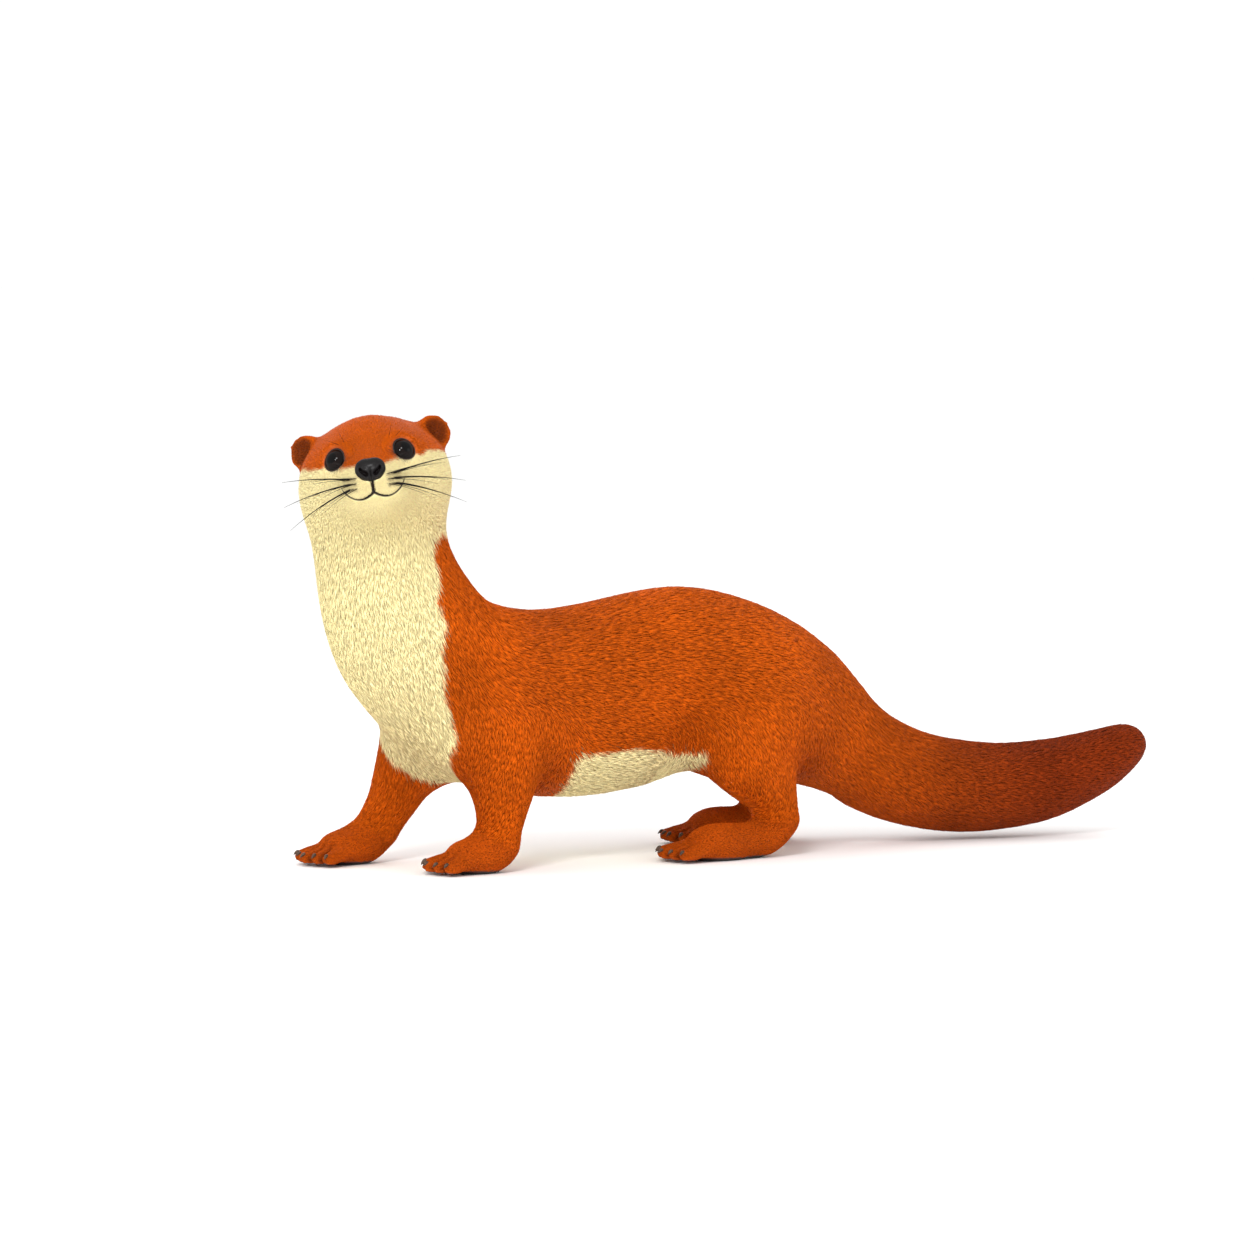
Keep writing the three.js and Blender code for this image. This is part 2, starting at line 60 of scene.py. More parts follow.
# ---- The flesh: passes of smoothing, depth of the coat, length and width of a tuft, in millimetres.
Flesh = namedtuple("Flesh", "passes coat length width")
FLESH = {
    "head": Flesh(30, 1.1, 6.0, 0.66),
    "neck": Flesh(80, 1.3, 10.5, 0.8),
    "chest": Flesh(90, 1.4, 12.0, 0.85),
    "belly": Flesh(90, 1.5, 12.5, 0.86),
    "hips": Flesh(90, 1.5, 12.5, 0.86),
    "tail_base": Flesh(60, 1.5, 12.0, 0.84),
    "tail_middle": Flesh(55, 1.5, 11.5, 0.84),
    "tail_tip": Flesh(50, 1.4, 10.0, 0.82),
    "ear": Flesh(2, 0.5, 2.4, 0.5),
    "foreleg": Flesh(36, 1.2, 8.2, 0.74),
    "hindleg": Flesh(36, 1.3, 9.0, 0.77),
    "forepaw": Flesh(7, 0.7, 3.2, 0.64),
    "hindpaw": Flesh(7, 0.7, 3.4, 0.64),
}
PAIRED = ("ear", "foreleg", "hindleg", "forepaw", "hindpaw")
SMALL_PASSES = 10  # ears and paws have fewer passes than this

SPINE_PARTS = ("head", "neck", "chest", "belly", "hips", "tail_base", "tail_middle", "tail_tip")
SPINE_STEPS = 24  # points along the spine from one part to the next
SPINE_STATIONS = {part: place * SPINE_STEPS for place, part in enumerate(SPINE_PARTS)}
THROAT_SHARE = 0.55  # of the throat's facing that the neck keeps
NECK_BELLY = (-0.75, 0, 0)
CHEST_BELLY = (-0.8, 0, -0.6)
TAIL_END_DROP = 8  # from the top of the tail's tip down to the end of the spine
LEG_STEPS = 12
LEG_TOP = {"fore": (0.35, 0.65), "hind": (0.55, 0.45)}  # shares of the leg's front and back at its root
HEEL_AHEAD = 14  # of the back of the paw
TOE_HEIGHT = 6

# ---- The skin. A pair of passes is for the small parts and for the others.
SKIN_CELL = 2.2 * MM  # voxel of the remesh that joins the solids
GROWTH = 0.4 * MM  # closes the cuts between the solids
WELD = 0.001 * MM
TOE_PASSES = 2
TOE_REACH = 11 * MM  # from a claw's root back over its toe
EAR_ROUNDS = 10  # each smooths the ears' thin rims and then swells them back
ROUND_RATES = (0.5, -0.52)
PASSES_RUN = 6  # passes over which the number of passes itself changes from part to part
DEPTH_PASSES = 14
FLOW_PASSES = (6, 120)
TUFT_PASSES = (12, 220)
HAIR_FALL = 0.22  # how far the hair along the spine leans down
HAIR_SOURCE = (72, 0, 3)  # ahead of the nose, where the lie of the head's hair starts
EAR_DEPTH = 12  # from the middle of an ear to its foot
COAT_HEIGHTS = (1.5, 9)  # between which the coat grows from nothing to its full depth
FLOOR_GAP = 0.05 * MM

# ---- The head, in millimetres along its own forward, left and up axes.
NOSE_DIP = math.radians(19)  # the line from between the eyes to the nose, below the forward axis
EYES_AHEAD = 35
EYES_UP = 10
NOSE_FRONT = (60, 0, 1)
Swelling = namedtuple("Swelling", "rise place reach")
HEAD_SHAPE = {
    "brow": Swelling(1.3, (31, 17, 20), (7, 9, 5)),
    "between_eyes": Swelling(-1.0, (40, 0, 14), (8, 7, 8)),
    "whisker_pad": Swelling(1.4, (50, 11, -9), (9, 7, 6)),
    "below_eye": Swelling(-0.9, (43, 13, 6), (6, 4, 5)),
    "chin": Swelling(1.0, (44, 0, -25), (9, 10, 5)),
}

# ---- Shares that grow with distance: the first value, its gain, and the two distances in millimetres.
COAT_FROM_NOSE = (0.45, 0.55, 8, 60)
TUFT_FROM_NOSE = (0.42, 0.58, 6, 90)
TUFT_FROM_CLAWS = (0.68, 0.32, 3, 16)
TUFT_FROM_LIPS = (0.6, 0.4, 2, 6)

# ---- The eyes: sizes in millimetres and angles in degrees. A corner has its gain and its width.
EYE_RADIUS = 8.6
EYE_SINK = 1.3
EYE_AHEAD = 0.22  # how far the eyes turn forward from the skin's own facing
EYE_SURROUNDINGS = 13  # the skin this near to the eye sets which way it looks
EYE_PLUG_IN = 1.2  # the ball that fills the seat lies deeper than the eye
EYE_PLUG_LESS = 0.8  # and is smaller
LIDS_OPEN = 54.5
LIDS_OVAL = 0.8
INNER_CORNER = (5, 0.32)
OUTER_CORNER = (2.5, 0.42)
SEAT_REACH = 17  # how far from the eye's centre its seat shapes the skin
SEAT_GAP = 1.3  # between the eyeball and the skin behind it
SEAT_EDGE = (1, 5)  # degrees past the lids' edge, between which the skin comes out over the eye
LID_RISE = 0.45
LID_FALL = 2.6
LID_SLOPE = (14, 42)  # degrees past the lids' edge, between which the lids sink to the skin
LID_BLEND = 0.35
LID_STEPS = 96
LID_ROWS = ((-6, -0.8), (-3, -0.25), (-1.2, 0.1), (-0.3, 0.36), (1.2, 0.56), (3.0, 0.62), (4.5, 0.62),
            (6, 0.6), (8, 0.54), (10, 0.44), (13, 0.2), (17, -0.3), (22, -0.9))  # degrees past, rise
UPPER_LID = (-0.2, 0.8)  # heights round the eye, between which the lower lid turns into the upper
LID_SWELL = (0.25, 0, 5)  # of the upper lid: its rise, and the degrees between which it comes
LID_CREASE = (0.3, 9, 1.8)  # of the upper lid: its depth, its place and its width
LID_END = 15  # no fold past this
LID_RIM = (2.5, 5.5)  # between which the bare rim turns into fur
CORNEA_RISE = 0.45
CORNEA_EDGE = (0.25, 0.8)  # in radians from the axis
EYEBALL_ROWS = 46
EYEBALL_STEPS = 72
ROW_CROWDING = 1.25  # rows lie closer together near the axis
LID_HAIR_FADE = 16  # degrees over which the hair turns from the lids' own way to the head's
LID_HAIR_REACH = 18
LID_HAIR_SHARE = 0.85

# ---- The mouth, as places to the left and up, and its lips.
MOUTH = ((0, -12.5), (3, -14.4), (6.5, -15.7), (10, -15.8), (13.6, -14.4), (16.8, -11.8), (19, -8.6),
         (20.2, -5.6))
PHILTRUM = ((0, -5), (0, -9), (0, -12.5))
FACE_STEPS = 10
FACE_START = 95  # ahead of the head's middle, where the search for the face starts
LIP_GROOVE = (-1.2, 0, 0.85)  # each has its rise, its place beside the line and its width
UPPER_LIP = (0.75, 2.8, 1.8)
LOWER_HOLLOW = (-0.75, 1.6, 1.4)
LOWER_LIP = (0.5, 5.5, 2)
LIP_REACH = 12
LINE_REACH = 60 * MM  # from the middle of a line, past which no point is measured
LIP_NARROWS = 0.75  # along a lip, where it starts to narrow towards its end
LIP_ENDS = (0.5, 0.5, 1)  # the shares of their width that both lips and the groove above end with

# ---- Where the skin needs more points: distances at the first and the second splitting.
FINE_AT_EYES = (14, 12)
FINE_AT_LIPS = (5, 3.5)
FINE_AT_PORES = (2.6, 1.6)
FINE_PASSES = 3
TOE_MARGIN = 3 * MM

# ---- The clefts between the toes.
CLEFT_DEPTH = 2.8
CLEFT_WIDTH = 1.25
CLEFT_SLOPE = (-17, -2)  # along the toes, between which a cleft deepens
CLEFT_REACH = (20, 16)  # along and up

# ---- The nose.
NOSE_SEAT = (8.4, 6.4)  # half its width and height
NOSE_SEAT_BACK = 3.0
NOSE_SEAT_EDGE = (0.75, 1.1)
NOSE_ROWS = 64
NOSE_STEPS = 144
NOSE_SQUARENESS = 2.5
NOSE_FRONT_SHARE = 0.62  # of the rows; the others run back to the skin
NOSE_MIDDLE = 0.004  # the first row's place, as small as it can be
NOSE_SPREAD = 0.9  # the power by which the front's rows spread from its middle
NOSE_DOME = 0.93  # 1 is a full half-round
NOSE_THICK = (0.5, 0.06, 0.55)  # shares of its depth: the dome's height, its place back and its sides' run
NOSE_NARROWS = (0.3, 0.5, -8)  # by this share, between these heights
NOSE_NOTCH = (0.35, 2.6, 0.4)  # in the top's middle: depth, width and the share of the height where it starts
NOSE_TUCK = 0.12  # how much smaller the back is
NOSE_GROOVE = (0.7, 0.55)  # depth and width
GROOVE_HEIGHTS = (2.0, -2.0)  # between which the groove comes
NOSTRIL_STEPS = 24
NOSTRIL_BEND = 2.3
NOSTRIL_ASIDE = (3.0, 2.1, 1.6)  # the line's start, its bulge and its tail
NOSTRIL_UP = (-1.9, 3.1, 0.8, 0.4)  # the line's start, its rise with a power, and its hook
NOSTRIL_WIDTH = (1.15, 0.6)  # at the start, and how much it narrows
NOSTRIL_WALL = 3.2  # the power that makes its walls steep
NOSTRIL_DEPTH = 2.8
NOSTRIL_RIM = 0.4
RIM_PLACE = (2.0, 0.8)  # from the line and its own width, in widths of the nostril

# ---- The markings, with the painted shade of the ears' cups and the toes' clefts. A limit is the angle from the belly line at which the pale fur ends.
PALE_LIMITS = {"head": 96, "neck": 76, "chest": 62, "belly": 55, "hips": 42, "tail_base": -30,
               "tail_tip": -30}
# On the head it is a place ahead, and the height below which the fur is pale.
HEAD_BORDER = ((-34, -60), (-25, -24), (-15, -4), (-6, 4), (8, 8), (20, 8.5), (35, 8), (50, 5), (62, 3.5))
RAGGED = ((7, 34), (4, 13))  # degrees, and the wave in millimetres
RAGGED_BEHIND = 0.35  # the share of it that is left from the chest back
TRUNK_SLOPE = 4
HEAD_SLOPE = 2.2
HEAD_RAGGED = 0.16
GROIN = 12  # behind the front of the hips, where the pale belly ends against the thigh
GROIN_SLOPE = 4
GROIN_RAGGED = 0.5
PAW_DARK = 0.35
TAIL_DARKENS = (SPINE_STATIONS["tail_base"] - 14, SPINE_STATIONS["tail_tip"] - 12)  # along the spine
# the ears' cups, where the fur is darkened as painted shade
EAR_OPENING = (0.9, 0.44)  # ahead and to its own side
EAR_FACING = (-0.1, 0.35)
EAR_CUP = (7.5, 10.5)
BARE_LIP = (0.9, 1.9)
BARE_LID = (1.5, 4.5)
BARE_LID_REACH = 12
PORE_WIDTH = 1.1
# how far painted shade darkens the clefts between the toes
CLEFT_SHADE = 0.8
SOLE_HEIGHTS = (1.5, 4)
SOLE_FACING = (0.3, 0.8)

# ---- The whiskers: millimetres, and shares of the length.
PAD_ROWS = (-2.8, -5.8, -8.8)
PAD_COLUMNS = 4
PAD_START = 9.6
PAD_STEP = 2.0
MAIN_COLUMN = 2
MAIN_WHISKER = (43.5, 0.6)  # length and radius
SIDE_WHISKER = (25, 36, 0.24)  # shortest, longest and radius
BROW_HAIR = (9, 12, 0.16)
BROW_HAIRS = 2
FAN = (0.16, -0.24, 0.05)  # upwards in the top row, its change for each row below, and the stray
FORWARD_FAN = (0.26, -0.14)  # forwards in the front column, and its change for each column behind
DROOP = (0.10, 0.03)  # in the top row, and its change for each row below
WHISKER_LIFT = 0.15  # share of the skin's own facing in its way
BROW_PLACE = ((14, 21), (4, -0.5))  # to the side and up, and the step to the next hair
BROW_WAY = (0.8, 0.5, 0.1)  # shares of the skin's own facing, of up and of forward
BROW_ASIDE = (0.15, 0.2)  # share of outward, and its step to the next hair
BROW_BEND = (0.02, 0.35)  # down and back
WHISKER_TAPER = 0.88
WHISKER_ROOT = -0.03
WHISKER_BACK = 0.34
WHISKER_POINTS = 14
WHISKER_SIDES = 6

# ---- The claws.
CLAW_PLUG = 2.2  # radius of the ball that carries the toe round the claw's root
CLAW_ROOT = 0.6  # past the middle of its solid
CLAW_SHOWS = 0.75
CLAW_BULGE = 0.16
CLAW_RADIUS = 1.2
CLAW_TAPER = np.array([0.7, 0.95, 1.0, 0.96, 0.86, 0.72, 0.55, 0.36, 0.14])
CLAW_SIDES = 12

# ---- The coat: its pieces, how many layers of tufts cover the skin, and the most tufts in one piece.
COAT = ["face", "crown", "ears", "neck", "chest", "belly", "hips", "tail_base", "tail_tip"]
COAT += [f"{kind}{part}_{side}" for kind in ("fore", "hind") for part in ("leg", "paw") for side in SIDES]
LAYERS = 5.7
MOST_TUFTS = 33000
SEED = 7
FACE_FROM = 8  # ahead of the head's middle, where the face's piece starts
TUFT_FACES = np.array([(0, 3, 1), (0, 2, 3), (1, 3, 4), (3, 2, 4), (0, 1, 2), (1, 4, 2)])
TUFT_POINTS = 5  # root, two shoulders, ridge and tip
ROOTED = 0.35 * MM  # how deep a root lies in the skin
TUFT_LENGTHS = (0.75, 1.2)  # shares of the part's own
TUFT_WIDTHS = (0.8, 1.15)
TUFT_DEPTHS = (0.86, 1.08)
SHOULDER = 0.4  # of the tuft's length
SHOULDER_ON_SKIN = (0.35, 0.65)  # shares of its straight place and of the nearest skin
SHOULDER_RISE = 0.68
TIP_RISE = 0.94
STRAY_RISE = 0.5
STRAY_POWER = 14  # few tufts stray
STRAND_SHIFT = 0.4  # gives the hairs of each tuft a place of their own in the grain
RIDGE = 0.24
YAW = (5, 6)  # degrees: each tuft's own, and the ripple that runs through its neighbours
YAW_WAVE = 46
TUFT_FLOOR = 0.1 * MM
BARE_COVER = 1.6
HOLLOW_COVER = 0.55
PALE_MIX = (0.3, 2.2)  # how much one tuft differs, and how sharp the border is
PATCH = 0.0015  # half of a tuft's patch on the coat's unwrap
PATCH_CORNERS = np.array([(0, -1), (1, -0.2), (-1, -0.2), (0, -0.2), (0, 1)])
UNWRAP_SPANS = {  # along the spine
    "coat_neck": (12, 52),
    "coat_chest": (30, 72),
    "coat_belly": (60, 96),
    "coat_hips": (78, 126),
    "coat_tail_base": (108, 156),
    "coat_tail_tip": (128, 170),
}
EAR_REACH = 30 * MM
EAR_LENGTH = 26 * MM
LEG_SPAN = 4  # the unwrap's height for a metre past a leg's line


def rgb(red, green, blue):
    """A colour of the paint chart, as the linear values that a shader takes."""
    chart = (red, green, blue)
    return tuple(((c / 255 + 0.055) / 1.055) ** 2.4 if c > 10 else c / 3295 for c in chart) + (1,)


CHESTNUT = rgb(208, 90, 6)
CREAM = rgb(255, 239, 180)
UMBER = rgb(142, 50, 8)
UNDERFUR = rgb(166, 70, 10)
# painted shade for the ears' cups and the toes' clefts, and the real dark spots at the whiskers' pores
SHADE_AND_PORE_FUR = rgb(78, 32, 14)
BARE_SKIN = rgb(38, 24, 20)
# the two crease colours here are painted shade in the creases between the leather's pebbles
SKIN_CREASE_SHADE = rgb(20, 13, 12)
BLACK_LEATHER = rgb(15, 12, 12)
LEATHER_CREASE_SHADE = rgb(12, 9, 10)
# painted shade inside the nostril holes
NOSTRIL_SHADE = rgb(12, 4, 4)
PUPIL = rgb(4, 3, 3)
IRIS = (rgb(11, 6, 5), rgb(24, 12, 8))
LIMBUS = rgb(14, 8, 6)
HORN = (rgb(56, 40, 30), rgb(88, 66, 50))
BRISTLE = (rgb(7, 5, 5), rgb(14, 10, 9))
FLOOR_PAINT = (rgb(251, 251, 250), rgb(253, 253, 252))


# ---------------------------------------------------------------------------- arrays and meshes


def unit(vectors):
    """Vectors of length one."""
    return vectors / np.maximum(np.linalg.norm(vectors, axis=-1, keepdims=True), 1e-12)


def smooth_step(low, high, values):
    """0 below low, 1 above high and a soft slope between."""
    t = np.clip((values - low) / (high - low), 0, 1)
    return t * t * (3 - 2 * t)


def dots(a, b):
    return np.sum(a * b, axis=-1, keepdims=True)


def across(vectors, normals):
    """The part of each vector that lies in the surface."""
    return unit(vectors - normals * dots(vectors, normals))


def read(items, field, columns, kind=np.float32):
    """One field of a mesh's items, with a row for each item."""
    flat = np.empty(len(items) * columns, kind)
    items.foreach_get(field, flat)
    return flat.reshape(-1, columns)


def curve_through(stations, steps):
    """A Catmull-Rom curve through the stations."""
    stations = np.array(stations, float)
    ends = np.vstack([2 * stations[0] - stations[1], stations, 2 * stations[-1] - stations[-2]])
    pieces = []
    for i in range(len(stations) - 1):
        t = np.linspace(0, 1, steps, endpoint=False)[:, None]
        a, b, c, d = ends[i:i + 4]
        square, cube = 2 * a - 5 * b + 4 * c - d, 3 * b - a - 3 * c + d
        pieces.append(0.5 * (2 * b + (c - a) * t + square * t**2 + cube * t**3))
    pieces.append(stations[-1:])
    return np.vstack(pieces)


def heading(line):
    """The way in which a line runs at each of its points."""
    return unit(np.gradient(line, axis=0))


def closest(points, line):
    """The index of the line's point that lies nearest to each point."""
    return np.argmin(np.linalg.norm(points[:, None] - line[None], axis=2), axis=1)


def full_turn(steps):
    return np.linspace(-math.pi, math.pi, steps, endpoint=False)


def bell(values, centre, width):
    """1 at the centre, and a soft fall to 0 on both sides of it."""
    return np.exp(-((values - centre) / width) ** 2)


def rising(values, start, gain, low, high):
    """A share that grows from its start by its gain, between two distances."""
    return start + gain * smooth_step(low, high, values)


def points_of(mesh):
    return read(mesh.vertices, "co", 3).astype(float)


def normals_of(mesh):
    return read(mesh.vertex_normals, "vector", 3).astype(float)


def edges_of(mesh):
    return read(mesh.edges, "vertices", 2, np.int32)


def triangles_of(mesh):
    mesh.calc_loop_triangles()
    return read(mesh.loop_triangles, "vertices", 3, np.int32)


def move_points(mesh, points):
    mesh.vertices.foreach_set("co", points.astype(np.float32).ravel())
    mesh.update()


def mesh_from(name, points, faces):
    """A mesh from an array of points and an array of faces with one number of corners."""
    faces = np.asarray(faces, np.int32)
    corners = faces.shape[1]
    mesh = bpy.data.meshes.new(name)
    mesh.vertices.add(len(points))
    mesh.vertices.foreach_set("co", np.asarray(points, np.float32).ravel())
    mesh.loops.add(faces.size)
    mesh.loops.foreach_set("vertex_index", faces.ravel())
    mesh.polygons.add(len(faces))
    mesh.polygons.foreach_set("loop_start", np.arange(0, faces.size, corners, dtype=np.int32))
    mesh.polygons.foreach_set("use_smooth", np.ones(len(faces), bool))
    mesh.update(calc_edges=True)
    return mesh


def add_object(name, mesh, material=None):
    piece = bpy.data.objects.new(name, mesh)
    bpy.context.scene.collection.objects.link(piece)
    if material:
        mesh.materials.append(material)
    return piece


def put_attribute(mesh, name, values):
    """A number or a vector for each vertex, which the materials read by its name."""
    values = np.asarray(values, np.float32)
    if values.ndim == 1:
        mesh.attributes.new(name, "FLOAT", "POINT").data.foreach_set("value", values)
    else:
        mesh.attributes.new(name, "FLOAT_VECTOR", "POINT").data.foreach_set("vector", values.ravel())


@contextmanager
def edited(mesh):
    """A mesh open for editing, which is written back at the end."""
    shape = bmesh.new()
    shape.from_mesh(mesh)
    yield shape
    shape.to_mesh(mesh)
    shape.free()


def get_attribute(mesh, name):
    attribute = mesh.attributes[name]
    if attribute.data_type == "FLOAT":
        return read(attribute.data, "value", 1)[:, 0].astype(float)
    return read(attribute.data, "vector", 3).astype(float)


def spread(values, edges, passes, rate=0.5):
    """Values that have run into their neighbours; a vertex stops after its own number of passes."""
    values = np.array(values, float)
    columns = values.reshape(len(values), -1)
    count = np.maximum(np.bincount(edges.ravel(), minlength=len(values)), 1)
    passes = np.broadcast_to(passes, len(values))
    for turn in range(int(math.ceil(passes.max()))):
        share = rate * np.clip(passes - turn, 0, 1)
        for k in range(columns.shape[1]):
            total = np.bincount(edges[:, 0], columns[edges[:, 1], k], len(values))
            total += np.bincount(edges[:, 1], columns[edges[:, 0], k], len(values))
            columns[:, k] += share * (total / count - columns[:, k])
    return columns.reshape(values.shape)


def ripple(points, wave):
    """A smooth, irregular field between about -1 and 1; its odd factors keep the waves from lining up."""
    k = 2 * math.pi / wave
    x, y, z = points.T * k
    a = np.sin(x + 1.7 * np.sin(0.61 * y + 0.4) + 0.3)
    b = np.sin(1.31 * y + 1.3 * np.sin(0.83 * z - 1.1) + 2.1)
    c = np.sin(1.13 * z + 1.5 * np.sin(0.71 * x + 2.6) - 0.7)
    return (a + b + c) / 2.2


# ---------------------------------------------------------------------------- the body's own places


def middle(node):
    low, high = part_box(node)
    return (np.array(low) + np.array(high)) / 2


def head_axes():
    """The head's middle and its forward, left and up axes, from the eyes and the nose."""
    left_eye, right_eye = middle("eye_left"), middle("eye_right")
    left = unit(left_eye - right_eye)
    between = (left_eye + right_eye) / 2
    to_nose = middle("nose") - between
    to_nose = unit(to_nose - left * (to_nose @ left))
    lift = np.cross(to_nose, left)
    forward = to_nose * math.cos(NOSE_DIP) + lift * math.sin(NOSE_DIP)
    up = np.cross(forward, left)
    centre = between - (forward * EYES_AHEAD + up * EYES_UP) * MM
    return centre, forward, left, up


HEAD, FORWARD, LEFT, UP = head_axes()


def in_head(points):
    """Forward, left and up places of points in the head, in millimetres."""
    offset = np.asarray(points) - HEAD
    return np.stack([offset @ FORWARD, offset @ LEFT, offset @ UP], -1) / MM


def from_head(ahead, left, up):
    return HEAD + (FORWARD * ahead + LEFT * left + UP * up) * MM


def spine_line():
    """A line from the head down the neck and back to the tip of the tail, its way and its belly side."""
    low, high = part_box("tail_tip")
    tip = np.array([high.x, (low.y + high.y) / 2, high.z - TAIL_END_DROP * MM])
    stations = [HEAD, *(middle(part) for part in SPINE_PARTS[1:-1]), tip]
    down = np.array([0.0, 0, -1])
    throat = unit(FORWARD * [1, 1, 0])
    bellies = [throat, throat * THROAT_SHARE + NECK_BELLY, CHEST_BELLY, down, down, down, down, down]
    line = curve_through(stations, SPINE_STEPS)
    belly = curve_through(bellies, SPINE_STEPS)
    tangent = heading(line)
    return line, tangent, across(belly, tangent)


SPINE, SPINE_WAY, SPINE_BELLY = spine_line()


def beside_spine(points):
    """Each point's place along the spine, its angle from the belly line, and its turn round the spine."""
    distance = np.sum(SPINE**2, 1) - 2 * points @ SPINE.T
    nearest = np.argmin(distance, 1)
    offset = across(points - SPINE[nearest], SPINE_WAY[nearest])
    belly = SPINE_BELLY[nearest]
    aside = np.cross(SPINE_WAY[nearest], belly)
    turn = np.arctan2(np.sum(offset * aside, 1), np.sum(offset * belly, 1))
    return nearest, np.abs(turn), turn


def leg_line(kind, side):
    """A line down a leg, from its root through the wrist or ankle to the toes."""
    low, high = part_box(f"{kind}leg_{side}")
    paw_low, paw_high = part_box(f"{kind}paw_{side}")
    paw_y = (paw_low.y + paw_high.y) / 2
    heel = np.array([paw_high.x - HEEL_AHEAD * MM, paw_y, paw_high.z])
    toes = np.array([paw_low.x, paw_y, TOE_HEIGHT * MM])
    front, back = LEG_TOP[kind]
    top = np.array([low.x * front + high.x * back, (low.y + high.y) / 2, high.z])
    return curve_through([top, heel, toes], LEG_STEPS)


LEG_LINES = {(kind, side): leg_line(kind, side) for kind in ("fore", "hind") for side in SIDES}


def claw_ends(node):
    """Root and tip of a claw, from its solid."""
    points = points_of(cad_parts[node].data)
    tip = points[np.argmin(points[:, 0])]
    centre = points.mean(0)
    return centre + (centre - tip) * CLAW_ROOT, tip


PAWS = [f"{kind}paw_{side}" for kind in ("fore", "hind") for side in SIDES]
CLAWS = {paw: [f"{paw}_claw_{i}" for i in range(1, 6)] for paw in PAWS}
CLAW_ENDS = {claw: claw_ends(claw) for claws in CLAWS.values() for claw in claws}


# ---------------------------------------------------------------------------- the skin


def welded(node):
    """A solid's points without doubles, and its triangles."""
    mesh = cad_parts[node].data
    points = points_of(mesh)
    cells = np.round(points / WELD).astype(np.int64)
    _, first, place = np.unique(cells, axis=0, return_index=True, return_inverse=True)
    return points[first], place.reshape(-1)[triangles_of(mesh)]


def grown(points, triangles, amount):
    """Points moved out along the surface's normals."""
    a, b, c = (points[triangles[:, k]] for k in range(3))
    face = np.cross(b - a, c - a)
    normals = np.zeros_like(points)
    for k in range(3):
        np.add.at(normals, triangles[:, k], face)
    return points + unit(normals) * amount


def ball(centre, radius):
    shape = bmesh.new()
    bmesh.ops.create_icosphere(shape, subdivisions=3, radius=radius)
    points = np.array([v.co for v in shape.verts]) + centre
    triangles = np.array([[v.index for v in f.verts] for f in shape.faces])
    shape.free()
    return points, triangles


def flesh_names():
    names = []
    for part in FLESH:
        names += [f"{part}_{side}" for side in SIDES] if part in PAIRED else [part]
    return names


def joined(shapes):
    """One array of points and one of triangles from several."""
    points, triangles, start = [], [], 0
    for shape_points, shape_triangles in shapes:
        points.append(shape_points)
        triangles.append(shape_triangles + start)
        start += len(shape_points)
    return np.vstack(points), np.vstack(triangles)


def raw_skin():
    """One closed surface round all the flesh, with the eye, nose and claw seats filled."""
    shapes = []
    for name in flesh_names():
        points, triangles = welded(name)
        shapes.append((grown(points, triangles, GROWTH), triangles))
    for side in SIDES:
        inward = unit(HEAD - middle(f"eye_{side}"))
        centre = middle(f"eye_{side}") + inward * EYE_PLUG_IN * MM
        shapes.append(ball(centre, (EYE_RADIUS - EYE_PLUG_LESS) * MM))
    shapes.append(welded("nose"))
    for root, _ in CLAW_ENDS.values():
        shapes.append(ball(root, CLAW_PLUG * MM))
    rough = add_object("rough_skin", mesh_from("rough_skin", *joined(shapes)))
    remesh = rough.modifiers.new("Remesh", "REMESH")
    remesh.mode = "VOXEL"
    remesh.voxel_size = SKIN_CELL
    mesh = bpy.data.meshes.new_from_object(rough.evaluated_get(bpy.context.evaluated_depsgraph_get()))
    bpy.data.objects.remove(rough)
    return mesh


def nearest_flesh(points):
    """The index of the flesh solid that each point belongs to."""
    names = flesh_names()
    shapes = [welded(name) for name in names]
    owner = np.concatenate([np.full(len(t), i) for i, (_, t) in enumerate(shapes)])
    flesh_points, triangles = joined(shapes)
    tree = BVHTree.FromPolygons(flesh_points.tolist(), triangles.tolist())
    return np.array([owner[tree.find_nearest(p)[2]] for p in points.tolist()])


def kind_of(name):
    """The row of FLESH that a solid follows."""
    return name.rsplit("_", 1)[0] if name.endswith(SIDES) else name


def flesh_values(region, column):
    names = flesh_names()
    table = np.array([getattr(FLESH[kind_of(name)], column) for name in names], float)
    return table[region]


def near_claws(points):
    """Distance from each point to the nearest claw's root."""
    roots = np.array([root for root, _ in CLAW_ENDS.values()])
    return np.min(np.linalg.norm(points[:, None] - roots[None], axis=2), axis=1)


def leg_of(name):
    """The line of the leg that a leg or paw belongs to."""
    return LEG_LINES[kind_of(name)[:4], name.rsplit("_", 1)[1]]


def flow_of(points, region):
    """The way in which the hair lies, before it runs into the neighbouring parts."""
    nearest, _, _ = beside_spine(points)
    flow = SPINE_WAY[nearest] + np.array([0, 0, -HAIR_FALL])
    for index, name in enumerate(flesh_names()):
        mine = region == index
        kind = kind_of(name)
        if kind == "head":
            flow[mine] = unit(points[mine] - from_head(*HAIR_SOURCE))
        elif kind == "ear":
            flow[mine] = unit(points[mine] - ear_root(name))
        elif kind.endswith(("leg", "paw")):
            line = leg_of(name)
            flow[mine] = heading(line)[closest(points[mine], line)]
    return flow


def ear_root(name):
    """The foot of an ear, where it joins the head."""
    centre = middle(name)
    inward = unit(HEAD - centre)
    return centre + inward * EAR_DEPTH * MM


